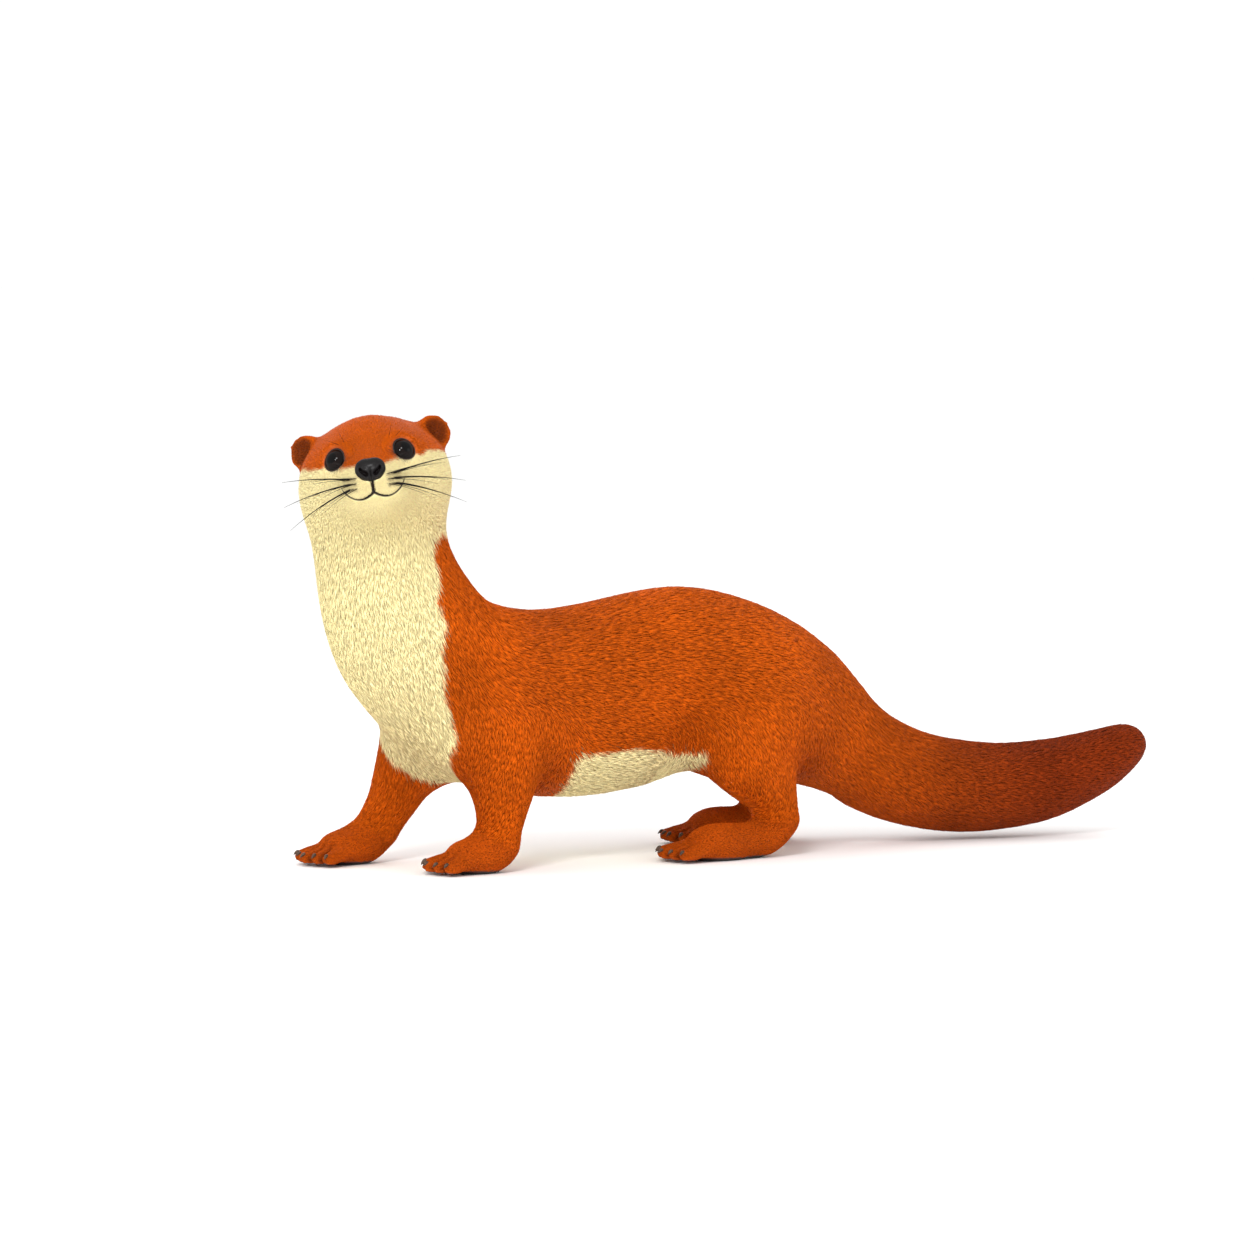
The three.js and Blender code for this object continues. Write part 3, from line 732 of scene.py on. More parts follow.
def shaped_skin():
    """The skin under the coat, with a value of each kind for each vertex."""
    mesh = raw_skin()
    points = points_of(mesh)
    edges = edges_of(mesh)
    region = nearest_flesh(points)
    passes = flesh_values(region, "passes")
    passes[near_claws(points) < TOE_REACH] = TOE_PASSES
    passes = spread(passes, edges, PASSES_RUN)
    points = spread(points, edges, passes)
    ears = np.isin(region, [flesh_names().index(f"ear_{side}") for side in SIDES])
    points = rounded(points, edges, ears, EAR_ROUNDS)
    move_points(mesh, points)
    shape_head(mesh)
    low, high = COAT_HEIGHTS
    depth = spread(flesh_values(region, "coat"), edges, DEPTH_PASSES) * MM
    depth *= rising(np.linalg.norm(in_head(points) - NOSE_FRONT, axis=1), *COAT_FROM_NOSE)
    depth *= smooth_step(low * MM, high * MM, points[:, 2])
    small = flesh_values(region, "passes") < SMALL_PASSES
    put_attribute(mesh, "depth", depth)
    put_attribute(mesh, "flow", spread(flow_of(points, region), edges, np.where(small, *FLOW_PASSES)))
    for column in ("length", "width"):
        values = spread(flesh_values(region, column), edges, np.where(small, *TUFT_PASSES))
        put_attribute(mesh, column, values * MM)
    points = points_of(mesh) - normals_of(mesh) * depth[:, None]
    points[:, 2] = np.maximum(points[:, 2], FLOOR_GAP)
    points = rounded(spread(points, edges, 1), edges, ears, EAR_ROUNDS)
    move_points(mesh, points)
    return mesh


def rounded(points, edges, where, rounds):
    """The same points, with the bumps taken off some of them and their size kept."""
    for rate in rounds * ROUND_RATES:
        points = spread(points, edges, where.astype(float), rate)
    return points


def shape_head(mesh):
    """Hollows and swellings that the plain solid hasn't."""
    points, normals = points_of(mesh), normals_of(mesh)
    place = in_head(points)
    place[:, 1] = np.abs(place[:, 1])
    rise = 0
    for swelling in HEAD_SHAPE.values():
        ahead, aside, up = (((place - swelling.place) / swelling.reach) ** 2).T
        rise = rise + swelling.rise * np.exp(-ahead - aside - up)
    move_points(mesh, points + normals * (rise * MM)[:, None])


# ---------------------------------------------------------------------------- the face

Eye = namedtuple("Eye", "centre axis nasal above")


def eye_seats(points, normals):
    """Where each eyeball sits, and which way it looks, taken from the skin round it."""
    seats = {}
    for side in SIDES:
        centre = middle(f"eye_{side}")
        near = np.linalg.norm(points - centre, axis=1) < EYE_SURROUNDINGS * MM
        axis = unit(unit(normals[near].mean(0)) + FORWARD * EYE_AHEAD)
        nasal = across(middle("nose") - centre, axis)
        above = np.cross(axis, nasal)
        above *= np.sign(above @ UP)
        seats[side] = Eye(centre - axis * EYE_SINK * MM, axis, nasal, above)
    return seats


def lid_opening(turn):
    """Half the angle that the lids leave open, in degrees, at a turn from the nasal corner."""
    turn = (turn + math.pi) % (2 * math.pi) - math.pi
    (inner, inner_width), (outer, outer_width) = INNER_CORNER, OUTER_CORNER
    opening = LIDS_OPEN + LIDS_OVAL * np.cos(2 * turn) + inner * bell(turn, 0, inner_width)
    return opening + outer * bell(np.abs(turn), math.pi, outer_width)


def about_eye(points, eye):
    """Millimetres from the eyeball's centre, degrees from its axis, and turn from the nasal corner."""
    offset = points - eye.centre
    reach = np.linalg.norm(offset, axis=1)
    angle = np.degrees(np.arccos(np.clip(offset @ eye.axis / reach, -1, 1)))
    return reach / MM, angle, np.arctan2(offset @ eye.above, offset @ eye.nasal)


def seat_eye(points, eye):
    """Skin drawn in behind the eyeball, and raised over it where the lids lie."""
    reach, angle, turn = about_eye(points, eye)
    past = angle - lid_opening(turn)
    behind = np.minimum(reach, EYE_RADIUS - SEAT_GAP)
    lid = EYE_RADIUS + LID_RISE - LID_FALL * smooth_step(*LID_SLOPE, past)
    over = np.logaddexp(reach / LID_BLEND, lid / LID_BLEND) * LID_BLEND
    wanted = behind + (over - behind) * smooth_step(*SEAT_EDGE, past)
    scale = np.where(reach < SEAT_REACH, wanted / reach, 1)
    return eye.centre + (points - eye.centre) * scale[:, None]


def tree_of(mesh):
    return BVHTree.FromPolygons(points_of(mesh).tolist(), triangles_of(mesh).tolist())


def onto_face(tree, left, up):
    """The point of the face, seen from straight ahead, at a place to the left and up."""
    start = from_head(FACE_START, left, up)
    found = tree.ray_cast(Vector(start), Vector(-FORWARD))
    return np.array(found[0]), np.array(found[1])


def face_line(tree, stations, mirror):
    """A line over the face through places given to the left and up."""
    places = curve_through([(left * mirror, up) for left, up in stations], FACE_STEPS)
    return np.array([onto_face(tree, left, up)[0] for left, up in places])


def from_line(points, line, share=1.0):
    """Millimetres from each point to the nearest point of a line; a share below 1 narrows the line."""
    away = np.full(len(points), FAR)
    near = np.where(np.linalg.norm(points - line.mean(0), axis=1) < LINE_REACH)[0]
    gaps = np.linalg.norm(points[near][:, None] - line[None], axis=2)
    away[near] = (gaps / share).min(1) / MM
    return away


def refine(mesh, chosen):
    """Splits the chosen faces in four."""
    with edited(mesh) as shape:
        shape.verts.ensure_lookup_table()
        edges = {edge for face in shape.faces if all(chosen[v.index] for v in face.verts)
                 for edge in face.edges}
        bmesh.ops.subdivide_edges(shape, edges=list(edges), cuts=1, use_grid_fill=True)
        bmesh.ops.triangulate(shape, faces=[face for face in shape.faces if len(face.verts) > 4])
    mesh.update()


def finer_face(mesh, eyes, lines, pores):
    """More points where the lids, the lips, the nose and the toes need them."""
    for turn in range(2):
        points = points_of(mesh)
        chosen = from_line(points, pores) < FINE_AT_PORES[turn]
        for eye in eyes.values():
            chosen |= np.linalg.norm(points - eye.centre, axis=1) < FINE_AT_EYES[turn] * MM
        for line in lines:
            chosen |= from_line(points, line) < FINE_AT_LIPS[turn]
        if turn == 0:
            chosen |= near_claws(points) < TOE_REACH + TOE_MARGIN
        before = len(points)
        refine(mesh, chosen)
        points = points_of(mesh)
        added = np.arange(len(points)) >= before
        near = spread(added.astype(float), edges_of(mesh), 2) > 0.05
        move_points(mesh, spread(points, edges_of(mesh), np.where(near, FINE_PASSES, 0)))


def part_toes(mesh):
    """Hollows between neighbouring toes, deepest at their ends."""
    points, normals = points_of(mesh), normals_of(mesh)
    depth = np.zeros(len(points))
    reach_along, reach_up = CLEFT_REACH
    for claws in CLAWS.values():
        for first, second in zip(claws, claws[1:]):
            (root_a, tip_a), (root_b, tip_b) = CLAW_ENDS[first], CLAW_ENDS[second]
            ahead = unit((tip_a - root_a + tip_b - root_b) * [1, 1, 0])
            aside = np.array([-ahead[1], ahead[0], 0])
            offset = (points - (root_a + root_b) / 2) / MM
            along, beside = offset @ ahead, offset @ aside
            near = (np.abs(along) < reach_along) & (np.abs(offset[:, 2]) < reach_up)
            hollow = bell(beside, 0, CLEFT_WIDTH) * smooth_step(*CLEFT_SLOPE, along) * near
            depth = np.maximum(depth, CLEFT_DEPTH * hollow)
    move_points(mesh, points - normals * (depth * MM)[:, None])
    return depth / CLEFT_DEPTH


def toward_pad(line):
    """At each point of a lip, the way over the face to the whisker pad that the lip goes round."""
    side = np.sign(in_head(line[-1])[1])
    return unit(np.cross(FORWARD, np.gradient(line, axis=0))) * side


def fold(gap, shape):
    """A rise or hollow beside a line."""
    rise, centre, width = shape
    return rise * bell(gap, centre, width)


def cut_lips(mesh, lines):
    """The groove under the nose and the closed mouth, with full lips beside them."""
    points, normals = points_of(mesh), normals_of(mesh)
    gap = np.full(len(points), FAR)
    for line, end in zip(lines, LIP_ENDS):
        share = np.interp(np.arange(len(line)), [len(line) * LIP_NARROWS, len(line)], [1, end])
        gap = np.minimum(gap, from_line(points, line, share))
    upper = np.zeros(len(points))
    near = np.where(gap < LIP_REACH)[0]
    mouth = np.vstack(lines[:2])
    inward = np.vstack([toward_pad(line) for line in lines[:2]])
    nearest = closest(points[near], mouth)
    upper[near] = np.sign(np.sum((points[near] - mouth[nearest]) * inward[nearest], axis=1))
    lip = np.where(upper > 0, fold(gap, UPPER_LIP), 0.0)
    under = np.where(upper < 0, fold(gap, LOWER_HOLLOW) + fold(gap, LOWER_LIP), 0.0)
    move_points(mesh, points + normals * ((fold(gap, LIP_GROOVE) + lip + under) * MM)[:, None])
    return gap


def seat_nose(points):
    """Skin drawn back behind the nose pad."""
    ahead, left, up = in_head(points).T
    nose_ahead, _, nose_up = in_head(middle("nose"))
    half_width, half_height = NOSE_SEAT
    inside = (left / half_width) ** 2 + ((up - nose_up) / half_height) ** 2
    back = np.maximum(ahead - (nose_ahead - NOSE_SEAT_BACK), 0) * (1 - smooth_step(*NOSE_SEAT_EDGE, inside))
    return points - FORWARD * (back * MM)[:, None]


def part_hair_at_eyes(points, normals, flow, eyes):
    """Hair that lies away from the lids."""
    for eye in eyes.values():
        reach, angle, turn = about_eye(points, eye)
        away = across(points - eye.centre, normals)
        share = bell(np.maximum(angle - lid_opening(turn), 0), 0, LID_HAIR_FADE) * (reach < LID_HAIR_REACH)
        share = share[:, None] * LID_HAIR_SHARE
        flow = unit(flow * (1 - share) + away * share)
    return flow


def markings(points, region):
    """How pale the coat is at each point, and how dark."""
    names = np.array([kind_of(name) for name in flesh_names()])[region]
    nearest, angle, _ = beside_spine(points)
    limits = np.interp(nearest, [SPINE_STATIONS[part] for part in PALE_LIMITS], list(PALE_LIMITS.values()))
    (wide, wide_wave), (fine, fine_wave) = RAGGED
    ragged = wide * ripple(points, wide_wave * MM) + fine * ripple(points[:, ::-1], fine_wave * MM)
    ragged *= np.interp(nearest, [SPINE_STATIONS["neck"], SPINE_STATIONS["chest"]], [1, RAGGED_BEHIND])
    trunk_pale = 1 - smooth_step(-TRUNK_SLOPE, TRUNK_SLOPE, np.degrees(angle) - limits - ragged)
    ahead, _, up = in_head(points).T
    border = np.interp(ahead, *zip(*HEAD_BORDER))
    head_pale = 1 - smooth_step(-HEAD_SLOPE, HEAD_SLOPE, up - border - HEAD_RAGGED * ragged)
    pale = np.where(names == "head", head_pale, trunk_pale)
    pale[np.isin(names, ["ear", "foreleg", "forepaw", "hindpaw"])] = 0
    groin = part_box("hips")[0].x / MM + GROIN
    past_groin = points[:, 0] / MM - GROIN_RAGGED * ragged
    before_thigh = 1 - smooth_step(groin - GROIN_SLOPE, groin + GROIN_SLOPE, past_groin)
    pale[names == "hindleg"] *= before_thigh[names == "hindleg"]
    dark = np.where(np.char.startswith(names, "tail"), smooth_step(*TAIL_DARKENS, nearest), 0)
    dark[np.isin(names, ["forepaw", "hindpaw"])] = PAW_DARK
    return pale, dark


def ear_hollow(points, normals):
    """1 inside the cup of an ear and 0 elsewhere; the materials paint shade into the cup by it."""
    hollow = np.zeros(len(points))
    ahead, aside = EAR_OPENING
    for side in SIDES:
        opening = unit(FORWARD * ahead + LEFT * aside * MIRROR[side])
        facing = smooth_step(*EAR_FACING, normals @ opening)
        from_middle = np.linalg.norm(points - middle(f"ear_{side}"), axis=1) / MM
        hollow = np.maximum(hollow, facing * (1 - smooth_step(*EAR_CUP, from_middle)))
    return hollow


def bare_places(points, normals, gap, eyes):
    """1 on the lips, the lids and the soles, and 0 where fur grows."""
    lips = 1 - smooth_step(*BARE_LIP, gap)
    lids = np.zeros(len(points))
    for eye in eyes.values():
        reach, angle, turn = about_eye(points, eye)
        lids += (1 - smooth_step(*BARE_LID, angle - lid_opening(turn))) * (reach < BARE_LID_REACH)
    soles = (1 - smooth_step(*SOLE_HEIGHTS, points[:, 2] / MM)) * smooth_step(*SOLE_FACING, -normals[:, 2])
    return np.clip(lips + lids + soles, 0, 1)


def hollow_places(points, normals, pores, between_toes):
    """1 in the cups of the ears, the whiskers' pores and the clefts of the toes: painted shade in the cups
    and the clefts, and the pores' own dark spots.
    """
    hollow = np.maximum(ear_hollow(points, normals), bell(from_line(points, pores), 0, PORE_WIDTH))
    return np.maximum(hollow, CLEFT_SHADE * between_toes)


def finished_skin():
    """The skin with its face, its markings and its bare places."""
    mesh = shaped_skin()
    eyes = eye_seats(points_of(mesh), normals_of(mesh))
    tree = tree_of(mesh)
    lips = [face_line(tree, MOUTH, mirror) for mirror in (1, -1)]
    lips.append(face_line(tree, PHILTRUM, 1))
    pads = {side: whisker_roots(tree, side) for side in SIDES}
    pores = np.array([root for root, _, _, _ in pads["left"] + pads["right"]])
    finer_face(mesh, eyes, lips, pores)
    gap = cut_lips(mesh, lips)
    between_toes = part_toes(mesh)
    points = seat_nose(points_of(mesh))
    for eye in eyes.values():
        points = seat_eye(points, eye)
    move_points(mesh, points)
    normals = normals_of(mesh)
    region = nearest_flesh(points)
    for name, values in zip(("pale", "dark"), markings(points, region)):
        put_attribute(mesh, name, spread(values, edges_of(mesh), 3))
    put_attribute(mesh, "bare", bare_places(points, normals, gap, eyes))
    put_attribute(mesh, "hollow", hollow_places(points, normals, pores, between_toes))
    flow = across(get_attribute(mesh, "flow"), normals)
    put_attribute(mesh, "lie", part_hair_at_eyes(points, normals, flow, eyes))
    from_nose = np.linalg.norm(in_head(points) - in_head(middle("nose")), axis=1)
    toe_fur = rising(near_claws(points) / MM, *TUFT_FROM_CLAWS)
    lip_fur = rising(gap, *TUFT_FROM_LIPS)
    put_attribute(mesh, "fine", rising(from_nose, *TUFT_FROM_NOSE) * toe_fur * lip_fur)
    return mesh, region, eyes, pads


def beside_eye(eye, turn):
    """The way out from the eye's axis, at each turn round it."""
    return np.cos(turn)[:, None] * eye.nasal + np.sin(turn)[:, None] * eye.above


def eye_faces(eye, rows, steps):
    return ring_faces(rows, steps, np.cross(eye.nasal, eye.above) @ eye.axis > 0)


def lid_ring(eye):
    """The rims of both lids, rolled from the eyeball out into the fur."""
    turn = full_turn(LID_STEPS)
    aside = beside_eye(eye, turn)
    upper = smooth_step(*UPPER_LID, np.sin(turn))
    swell, *swell_slope = LID_SWELL
    depth, place, width = LID_CREASE
    points = []
    for past, rise in LID_ROWS:
        crease = swell * smooth_step(*swell_slope, past) - depth * bell(past, place, width)
        if past > LID_END:
            crease = 0
        angle = np.radians(lid_opening(turn) + past)[:, None]
        reach = (EYE_RADIUS + rise + upper * crease) * MM
        points.append(eye.centre + (aside * np.sin(angle) + eye.axis * np.cos(angle)) * reach[:, None])
    rim = np.repeat([1 - smooth_step(*LID_RIM, past) for past, _ in LID_ROWS], LID_STEPS)
    return np.vstack(points), eye_faces(eye, len(LID_ROWS), LID_STEPS), rim


def ring_faces(rows, steps, flip=False):
    """Quads between closed rows of points."""
    start = np.arange(rows - 1)[:, None] * steps
    here = np.arange(steps)[None]
    after = (here + 1) % steps
    faces = np.stack([start + here, start + after, start + steps + after, start + steps + here], -1)
    faces = faces.reshape(-1, 4)
    return faces[:, ::-1] if flip else faces


def eyeball(eye):
    """A ball with a raised cornea; its attributes give each point's angle from the axis and its turn."""
    angle = np.linspace(0.0, math.pi, EYEBALL_ROWS) ** ROW_CROWDING / math.pi ** (ROW_CROWDING - 1)
    turn = full_turn(EYEBALL_STEPS)
    reach = (EYE_RADIUS + CORNEA_RISE * (1 - smooth_step(*CORNEA_EDGE, angle))) * MM
    aside = beside_eye(eye, turn)
    points = [eye.centre + (aside * math.sin(a) + eye.axis * math.cos(a)) * r for a, r in zip(angle, reach)]
    mesh = mesh_from("eyeball", np.vstack(points), eye_faces(eye, EYEBALL_ROWS, EYEBALL_STEPS))
    put_attribute(mesh, "ring", np.repeat(np.degrees(angle), EYEBALL_STEPS))
    put_attribute(mesh, "spoke", np.tile(turn, EYEBALL_ROWS))
    with edited(mesh) as shape:
        bmesh.ops.remove_doubles(shape, verts=shape.verts, dist=2 * WELD)
        bmesh.ops.recalc_face_normals(shape, faces=shape.faces)
    return mesh


def nostrils(left, up):
    """How deep each place of the nose lies in a comma-shaped nostril, and how high on its rim."""
    curve = np.linspace(0, 1, NOSTRIL_STEPS)
    bend = curve * NOSTRIL_BEND
    start_aside, bulge, tail = NOSTRIL_ASIDE
    start_up, rise, power, hook = NOSTRIL_UP
    wide, narrower = NOSTRIL_WIDTH
    hole, wing = np.zeros_like(left), np.zeros_like(left)
    for mirror in MIRROR.values():
        hole_left = mirror * (start_aside + bulge * np.sin(bend) + tail * curve ** 2)
        hole_up = start_up + rise * curve ** power - hook * np.cos(bend)
        gap = np.sqrt((left[..., None] - hole_left) ** 2 + (up[..., None] - hole_up) ** 2)
        near = (gap / (wide - narrower * curve)).min(-1)
        hole = np.maximum(hole, np.exp(-near ** NOSTRIL_WALL))
        wing = np.maximum(wing, bell(near, *RIM_PLACE))
    return hole, wing


def nose_pad():
    """The bare pad of the nose, with its nostrils and the groove that runs down to the lip."""
    low, high = NOSE_BOX
    half_width, half_height = (high[1] - low[1]) / 2, (high[2] - low[2]) / 2
    depth = high[0] - low[0]
    t = np.linspace(NOSE_MIDDLE, 1, NOSE_ROWS)[:, None]
    turn = full_turn(NOSE_STEPS)[None]
    side, rise = np.cos(turn), np.sin(turn)
    power = NOSE_SQUARENESS
    edge = 1 / (np.abs(side / half_width) ** power + np.abs(rise / half_height) ** power) ** (1 / power)
    out = np.minimum(t / NOSE_FRONT_SHARE, 1) ** NOSE_SPREAD
    back = np.maximum((t - NOSE_FRONT_SHARE) / (1 - NOSE_FRONT_SHARE), 0)
    shoulder = np.sqrt(np.maximum(1 - out ** 2 * NOSE_DOME, 0))
    left = edge * side * out
    up = edge * rise * out
    narrows, *narrows_slope = NOSE_NARROWS
    left = left * (1 - narrows * smooth_step(*narrows_slope, up))
    notch, notch_width, notch_start = NOSE_NOTCH
    up = up - notch * bell(left, 0, notch_width) * smooth_step(half_height * notch_start, half_height, up)
    dome, set_back, run_back = NOSE_THICK
    ahead = depth * (dome * shoulder - set_back) - back * depth * run_back
    shrink = 1 - NOSE_TUCK * back ** 2
    left, up = left * shrink, up * shrink
    hole, wing = nostrils(left, up)
    groove_depth, groove_width = NOSE_GROOVE
    groove = bell(left, 0, groove_width) * smooth_step(*GROOVE_HEIGHTS, up)
    ahead = ahead - (NOSTRIL_DEPTH * hole - NOSTRIL_RIM * wing + groove_depth * groove) * (1 - back)
    centre = in_head(middle("nose"))
    points = from_head_grid(ahead + centre[0], left, up + centre[2])
    mesh = mesh_from("nose_pad", points, ring_faces(NOSE_ROWS, NOSE_STEPS))
    # marks the nostrils, into which the leather paints shade
    put_attribute(mesh, "hollow", np.clip(hole * (1 - back), 0, 1).ravel())
    close_caps(mesh)
    return mesh


def from_head_grid(ahead, left, up):
    ahead, left, up = (values.ravel()[:, None] for values in (ahead, left, up))
    return HEAD + (ahead * FORWARD + left * LEFT + up * UP) * MM


def close_caps(mesh):
    """Fills a shape's open ends and turns its faces out."""
    with edited(mesh) as shape:
        bmesh.ops.holes_fill(shape, edges=[edge for edge in shape.edges if edge.is_boundary], sides=0)
        bmesh.ops.recalc_face_normals(shape, faces=shape.faces)
        for face in shape.faces:
            face.smooth = True


NOSE_BOX = tuple(edge(in_head(points_of(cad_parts["nose"].data)), axis=0) for edge in (np.min, np.max))


# ---------------------------------------------------------------------------- whiskers and claws


def taper(line, radii, sides):
    """A round tapered rod along a line, open at both ends."""
    way = heading(line)
    guide = np.array([0.0, 0, 1]) if abs(way[0][2]) < 0.8 else np.array([1.0, 0, 0])
    aside = across(np.broadcast_to(guide, way.shape), way)[:, None]
    over = np.cross(way, aside[:, 0])[:, None]
    turn = np.linspace(0, 2 * math.pi, sides, endpoint=False)[None, :, None]
    rings = line[:, None] + (aside * np.cos(turn) + over * np.sin(turn)) * radii[:, None, None]
    return rings.reshape(-1, 3), ring_faces(len(line), sides)


def bundle(name, shapes):
    """One mesh from several tapered rods, closed at their ends."""
    mesh = mesh_from(name, *joined(shapes))
    close_caps(mesh)
    return mesh


def whisker(root, way, length, radius, droop, back):
    """A stiff hair that springs from its root and bends down and back."""
    t = np.linspace(WHISKER_ROOT, 1, WHISKER_POINTS)[:, None]
    line = root + way * length * t + (UP * -droop + FORWARD * -back) * length * np.abs(t) ** 2
    return taper(line, radius * (1 - WHISKER_TAPER * np.clip(t[:, 0], 0, 1)) * MM, WHISKER_SIDES)


def whisker_roots(tree, side):
    """Places on the pad beside the nose, in three rows, with the way that the skin faces there."""
    roots = []
    for row, up in enumerate(PAD_ROWS):
        for column in range(PAD_COLUMNS):
            root, normal = onto_face(tree, MIRROR[side] * (PAD_START + PAD_STEP * column), up)
            roots.append((root, normal, row, column))
    return roots


def whiskers(tree, side, roots, rng):
    """Long hairs on the pad beside the nose, and two short ones over the eye."""
    outward = LEFT * MIRROR[side]
    top, change, stray = FAN
    shapes = []
    for root, normal, row, column in roots:
        fan = top + change * row + rng.uniform(-stray, stray)
        forward = FORWARD_FAN[0] + FORWARD_FAN[1] * column
        way = unit(outward + FORWARD * forward + UP * fan + normal * WHISKER_LIFT)
        length, radius = MAIN_WHISKER
        if column != MAIN_COLUMN:
            shortest, longest, radius = SIDE_WHISKER
            length = rng.uniform(shortest, longest)
        shapes.append(whisker(root, way, length * MM, radius, DROOP[0] + DROOP[1] * row, WHISKER_BACK))
    shortest, longest, radius = BROW_HAIR
    facing, upward, forward = BROW_WAY
    for step in range(BROW_HAIRS):
        left, up = np.array(BROW_PLACE[0]) + np.array(BROW_PLACE[1]) * step
        root, normal = onto_face(tree, MIRROR[side] * left, up)
        aside = outward * (BROW_ASIDE[0] + BROW_ASIDE[1] * step)
        way = unit(normal * facing + UP * upward + aside + FORWARD * forward)
        shapes.append(whisker(root, way, rng.uniform(shortest, longest) * MM, radius, *BROW_BEND))
    return bundle(f"whiskers_{side}", shapes)


def claw(root, tip):
    """A short blunt claw that curves down to its tip."""
    t = np.linspace(0, 1, len(CLAW_TAPER))[:, None]
    reach = (tip - root) * CLAW_SHOWS
    bulge = np.array([0, 0, CLAW_BULGE]) * np.linalg.norm(reach)
    line = root + reach * t + bulge * 4 * t * (1 - t)
    return taper(line, CLAW_RADIUS * MM * CLAW_TAPER, CLAW_SIDES)


# ---------------------------------------------------------------------------- the coat


def coat_owners(points, region):
    """Which piece of the coat grows at each point."""
    names = np.array(flesh_names())[region]
    owner = np.char.add("coat_", names)
    ahead = in_head(points)[:, 0]
    owner[names == "head"] = np.where(ahead[names == "head"] > FACE_FROM, "coat_face", "coat_crown")
    owner[np.char.startswith(names, "ear")] = "coat_ears"
    owner[np.isin(names, ["tail_middle", "tail_tip"])] = "coat_tail_tip"
    return owner


def round_head(points):
    """Places of the head's points: round its forward axis, and back from the nose."""
    ahead, left, up = in_head(points).T
    return np.arctan2(left, up) / (2 * math.pi) + 0.5, np.arctan2(np.hypot(left, up), ahead) / math.pi


def round_ears(points):
    """Places of the ears' points, each ear on its own half."""
    u, v = np.zeros(len(points)), np.zeros(len(points))
    for half, side in enumerate(SIDES):
        root, centre = ear_root(f"ear_{side}"), middle(f"ear_{side}")
        offset = points - root
        mine = np.linalg.norm(points - centre, axis=1) < EAR_REACH
        outward = unit(centre - root)
        aside = across(FORWARD[None], outward[None])[0]
        turn = np.arctan2(offset @ np.cross(outward, aside), offset @ aside)
        u[mine] = (half + turn[mine] / (2 * math.pi) + 0.5) / 2
        v[mine] = np.clip(offset[mine] @ outward / EAR_LENGTH, 0, 1)
    return u, v


def round_leg(points, line):
    """Places of a leg's or paw's points: round its line and along it."""
    way = heading(line)
    near = closest(points, line)
    offset = points - line[near]
    out = np.cross(way[near], np.array([0, 1.0, 0]))
    u = np.arctan2(offset[:, 1], np.sum(offset * out, 1)) / (2 * math.pi) + 0.5
    return u, near / (len(line) - 1) + np.sum(offset * way[near], 1) * LEG_SPAN


def round_spine(points, first, last):
    """Places of the trunk's and tail's points: round the spine and along it."""
    nearest, _, turn = beside_spine(points)
    offset = np.sum((points - SPINE[nearest]) * SPINE_WAY[nearest], 1)
    step = np.linalg.norm(SPINE[1:] - SPINE[:-1], axis=1).mean()
    return turn / (2 * math.pi) + 0.5, (nearest + offset / step - first) / (last - first)


def unwrap(points, piece):
    """Each point's place on an unwrap of the body's own shape, from 0 to 1 both ways."""
    if piece in ("coat_face", "coat_crown"):
        places = round_head(points)
    elif piece == "coat_ears":
        places = round_ears(points)
    elif piece in UNWRAP_SPANS:
        places = round_spine(points, *UNWRAP_SPANS[piece])
    else:
        places = round_leg(points, leg_of(piece.removeprefix("coat_")))
    return np.clip(np.stack(places, -1), 2 * PATCH, 1 - 2 * PATCH)


def sow(weights, count, rng):
    """Triangles for the roots, in even steps over the weights."""
    total = np.cumsum(weights)
    marks = (np.arange(count) + rng.random(count)) * total[-1] / count
    return np.searchsorted(total, marks)


def nearest_on(tree, points):
    found = [tree.find_nearest(p)[:2] for p in points.tolist()]
    return np.array([hit[0] for hit in found]), np.array([hit[1] for hit in found])


def coat(skin, region, rng):
    """The pieces of the coat: tufts that spring from the skin and lie along it, one over the next."""
    points, normals, triangles = points_of(skin), normals_of(skin), triangles_of(skin)
    fields = {name: get_attribute(skin, name)
              for name in ("lie", "depth", "length", "width", "pale", "dark", "bare", "hollow", "fine")}
    owner = coat_owners(points, region)[triangles[:, 0]]
    a, b, c = (points[triangles[:, k]] for k in range(3))
    area = np.linalg.norm(np.cross(b - a, c - a), axis=1) / 2
    size = (fields["length"] * fields["width"] * fields["fine"] ** 2)[triangles].mean(1)
    cover = np.clip(1 - BARE_COVER * fields["bare"][triangles].mean(1), 0, 1)
    cover *= 1 - HOLLOW_COVER * fields["hollow"][triangles].mean(1)
    weights = area * cover / size
    tree = tree_of(skin)
    pieces = []
    for part in COAT:
        piece = f"coat_{part}"
        mine = np.where(owner == piece)[0]
        count = min(int(LAYERS * weights[mine].sum()), MOST_TUFTS)
        chosen = triangles[mine[sow(weights[mine], count, rng)]]
        a, b = rng.random((2, count))
        over = a + b > 1
        a, b = np.where(over, 1 - a, a), np.where(over, 1 - b, b)
        share = np.stack([1 - a - b, a, b], -1)[:, :, None]

        def at_root(values):
            values = values.reshape(len(values), -1)
            return np.sum(values[chosen] * share, axis=1)

        field = {name: at_root(values) for name, values in fields.items()}
        pieces.append(tufts(piece, tree, at_root(points), unit(at_root(normals)), field, rng))
    return pieces


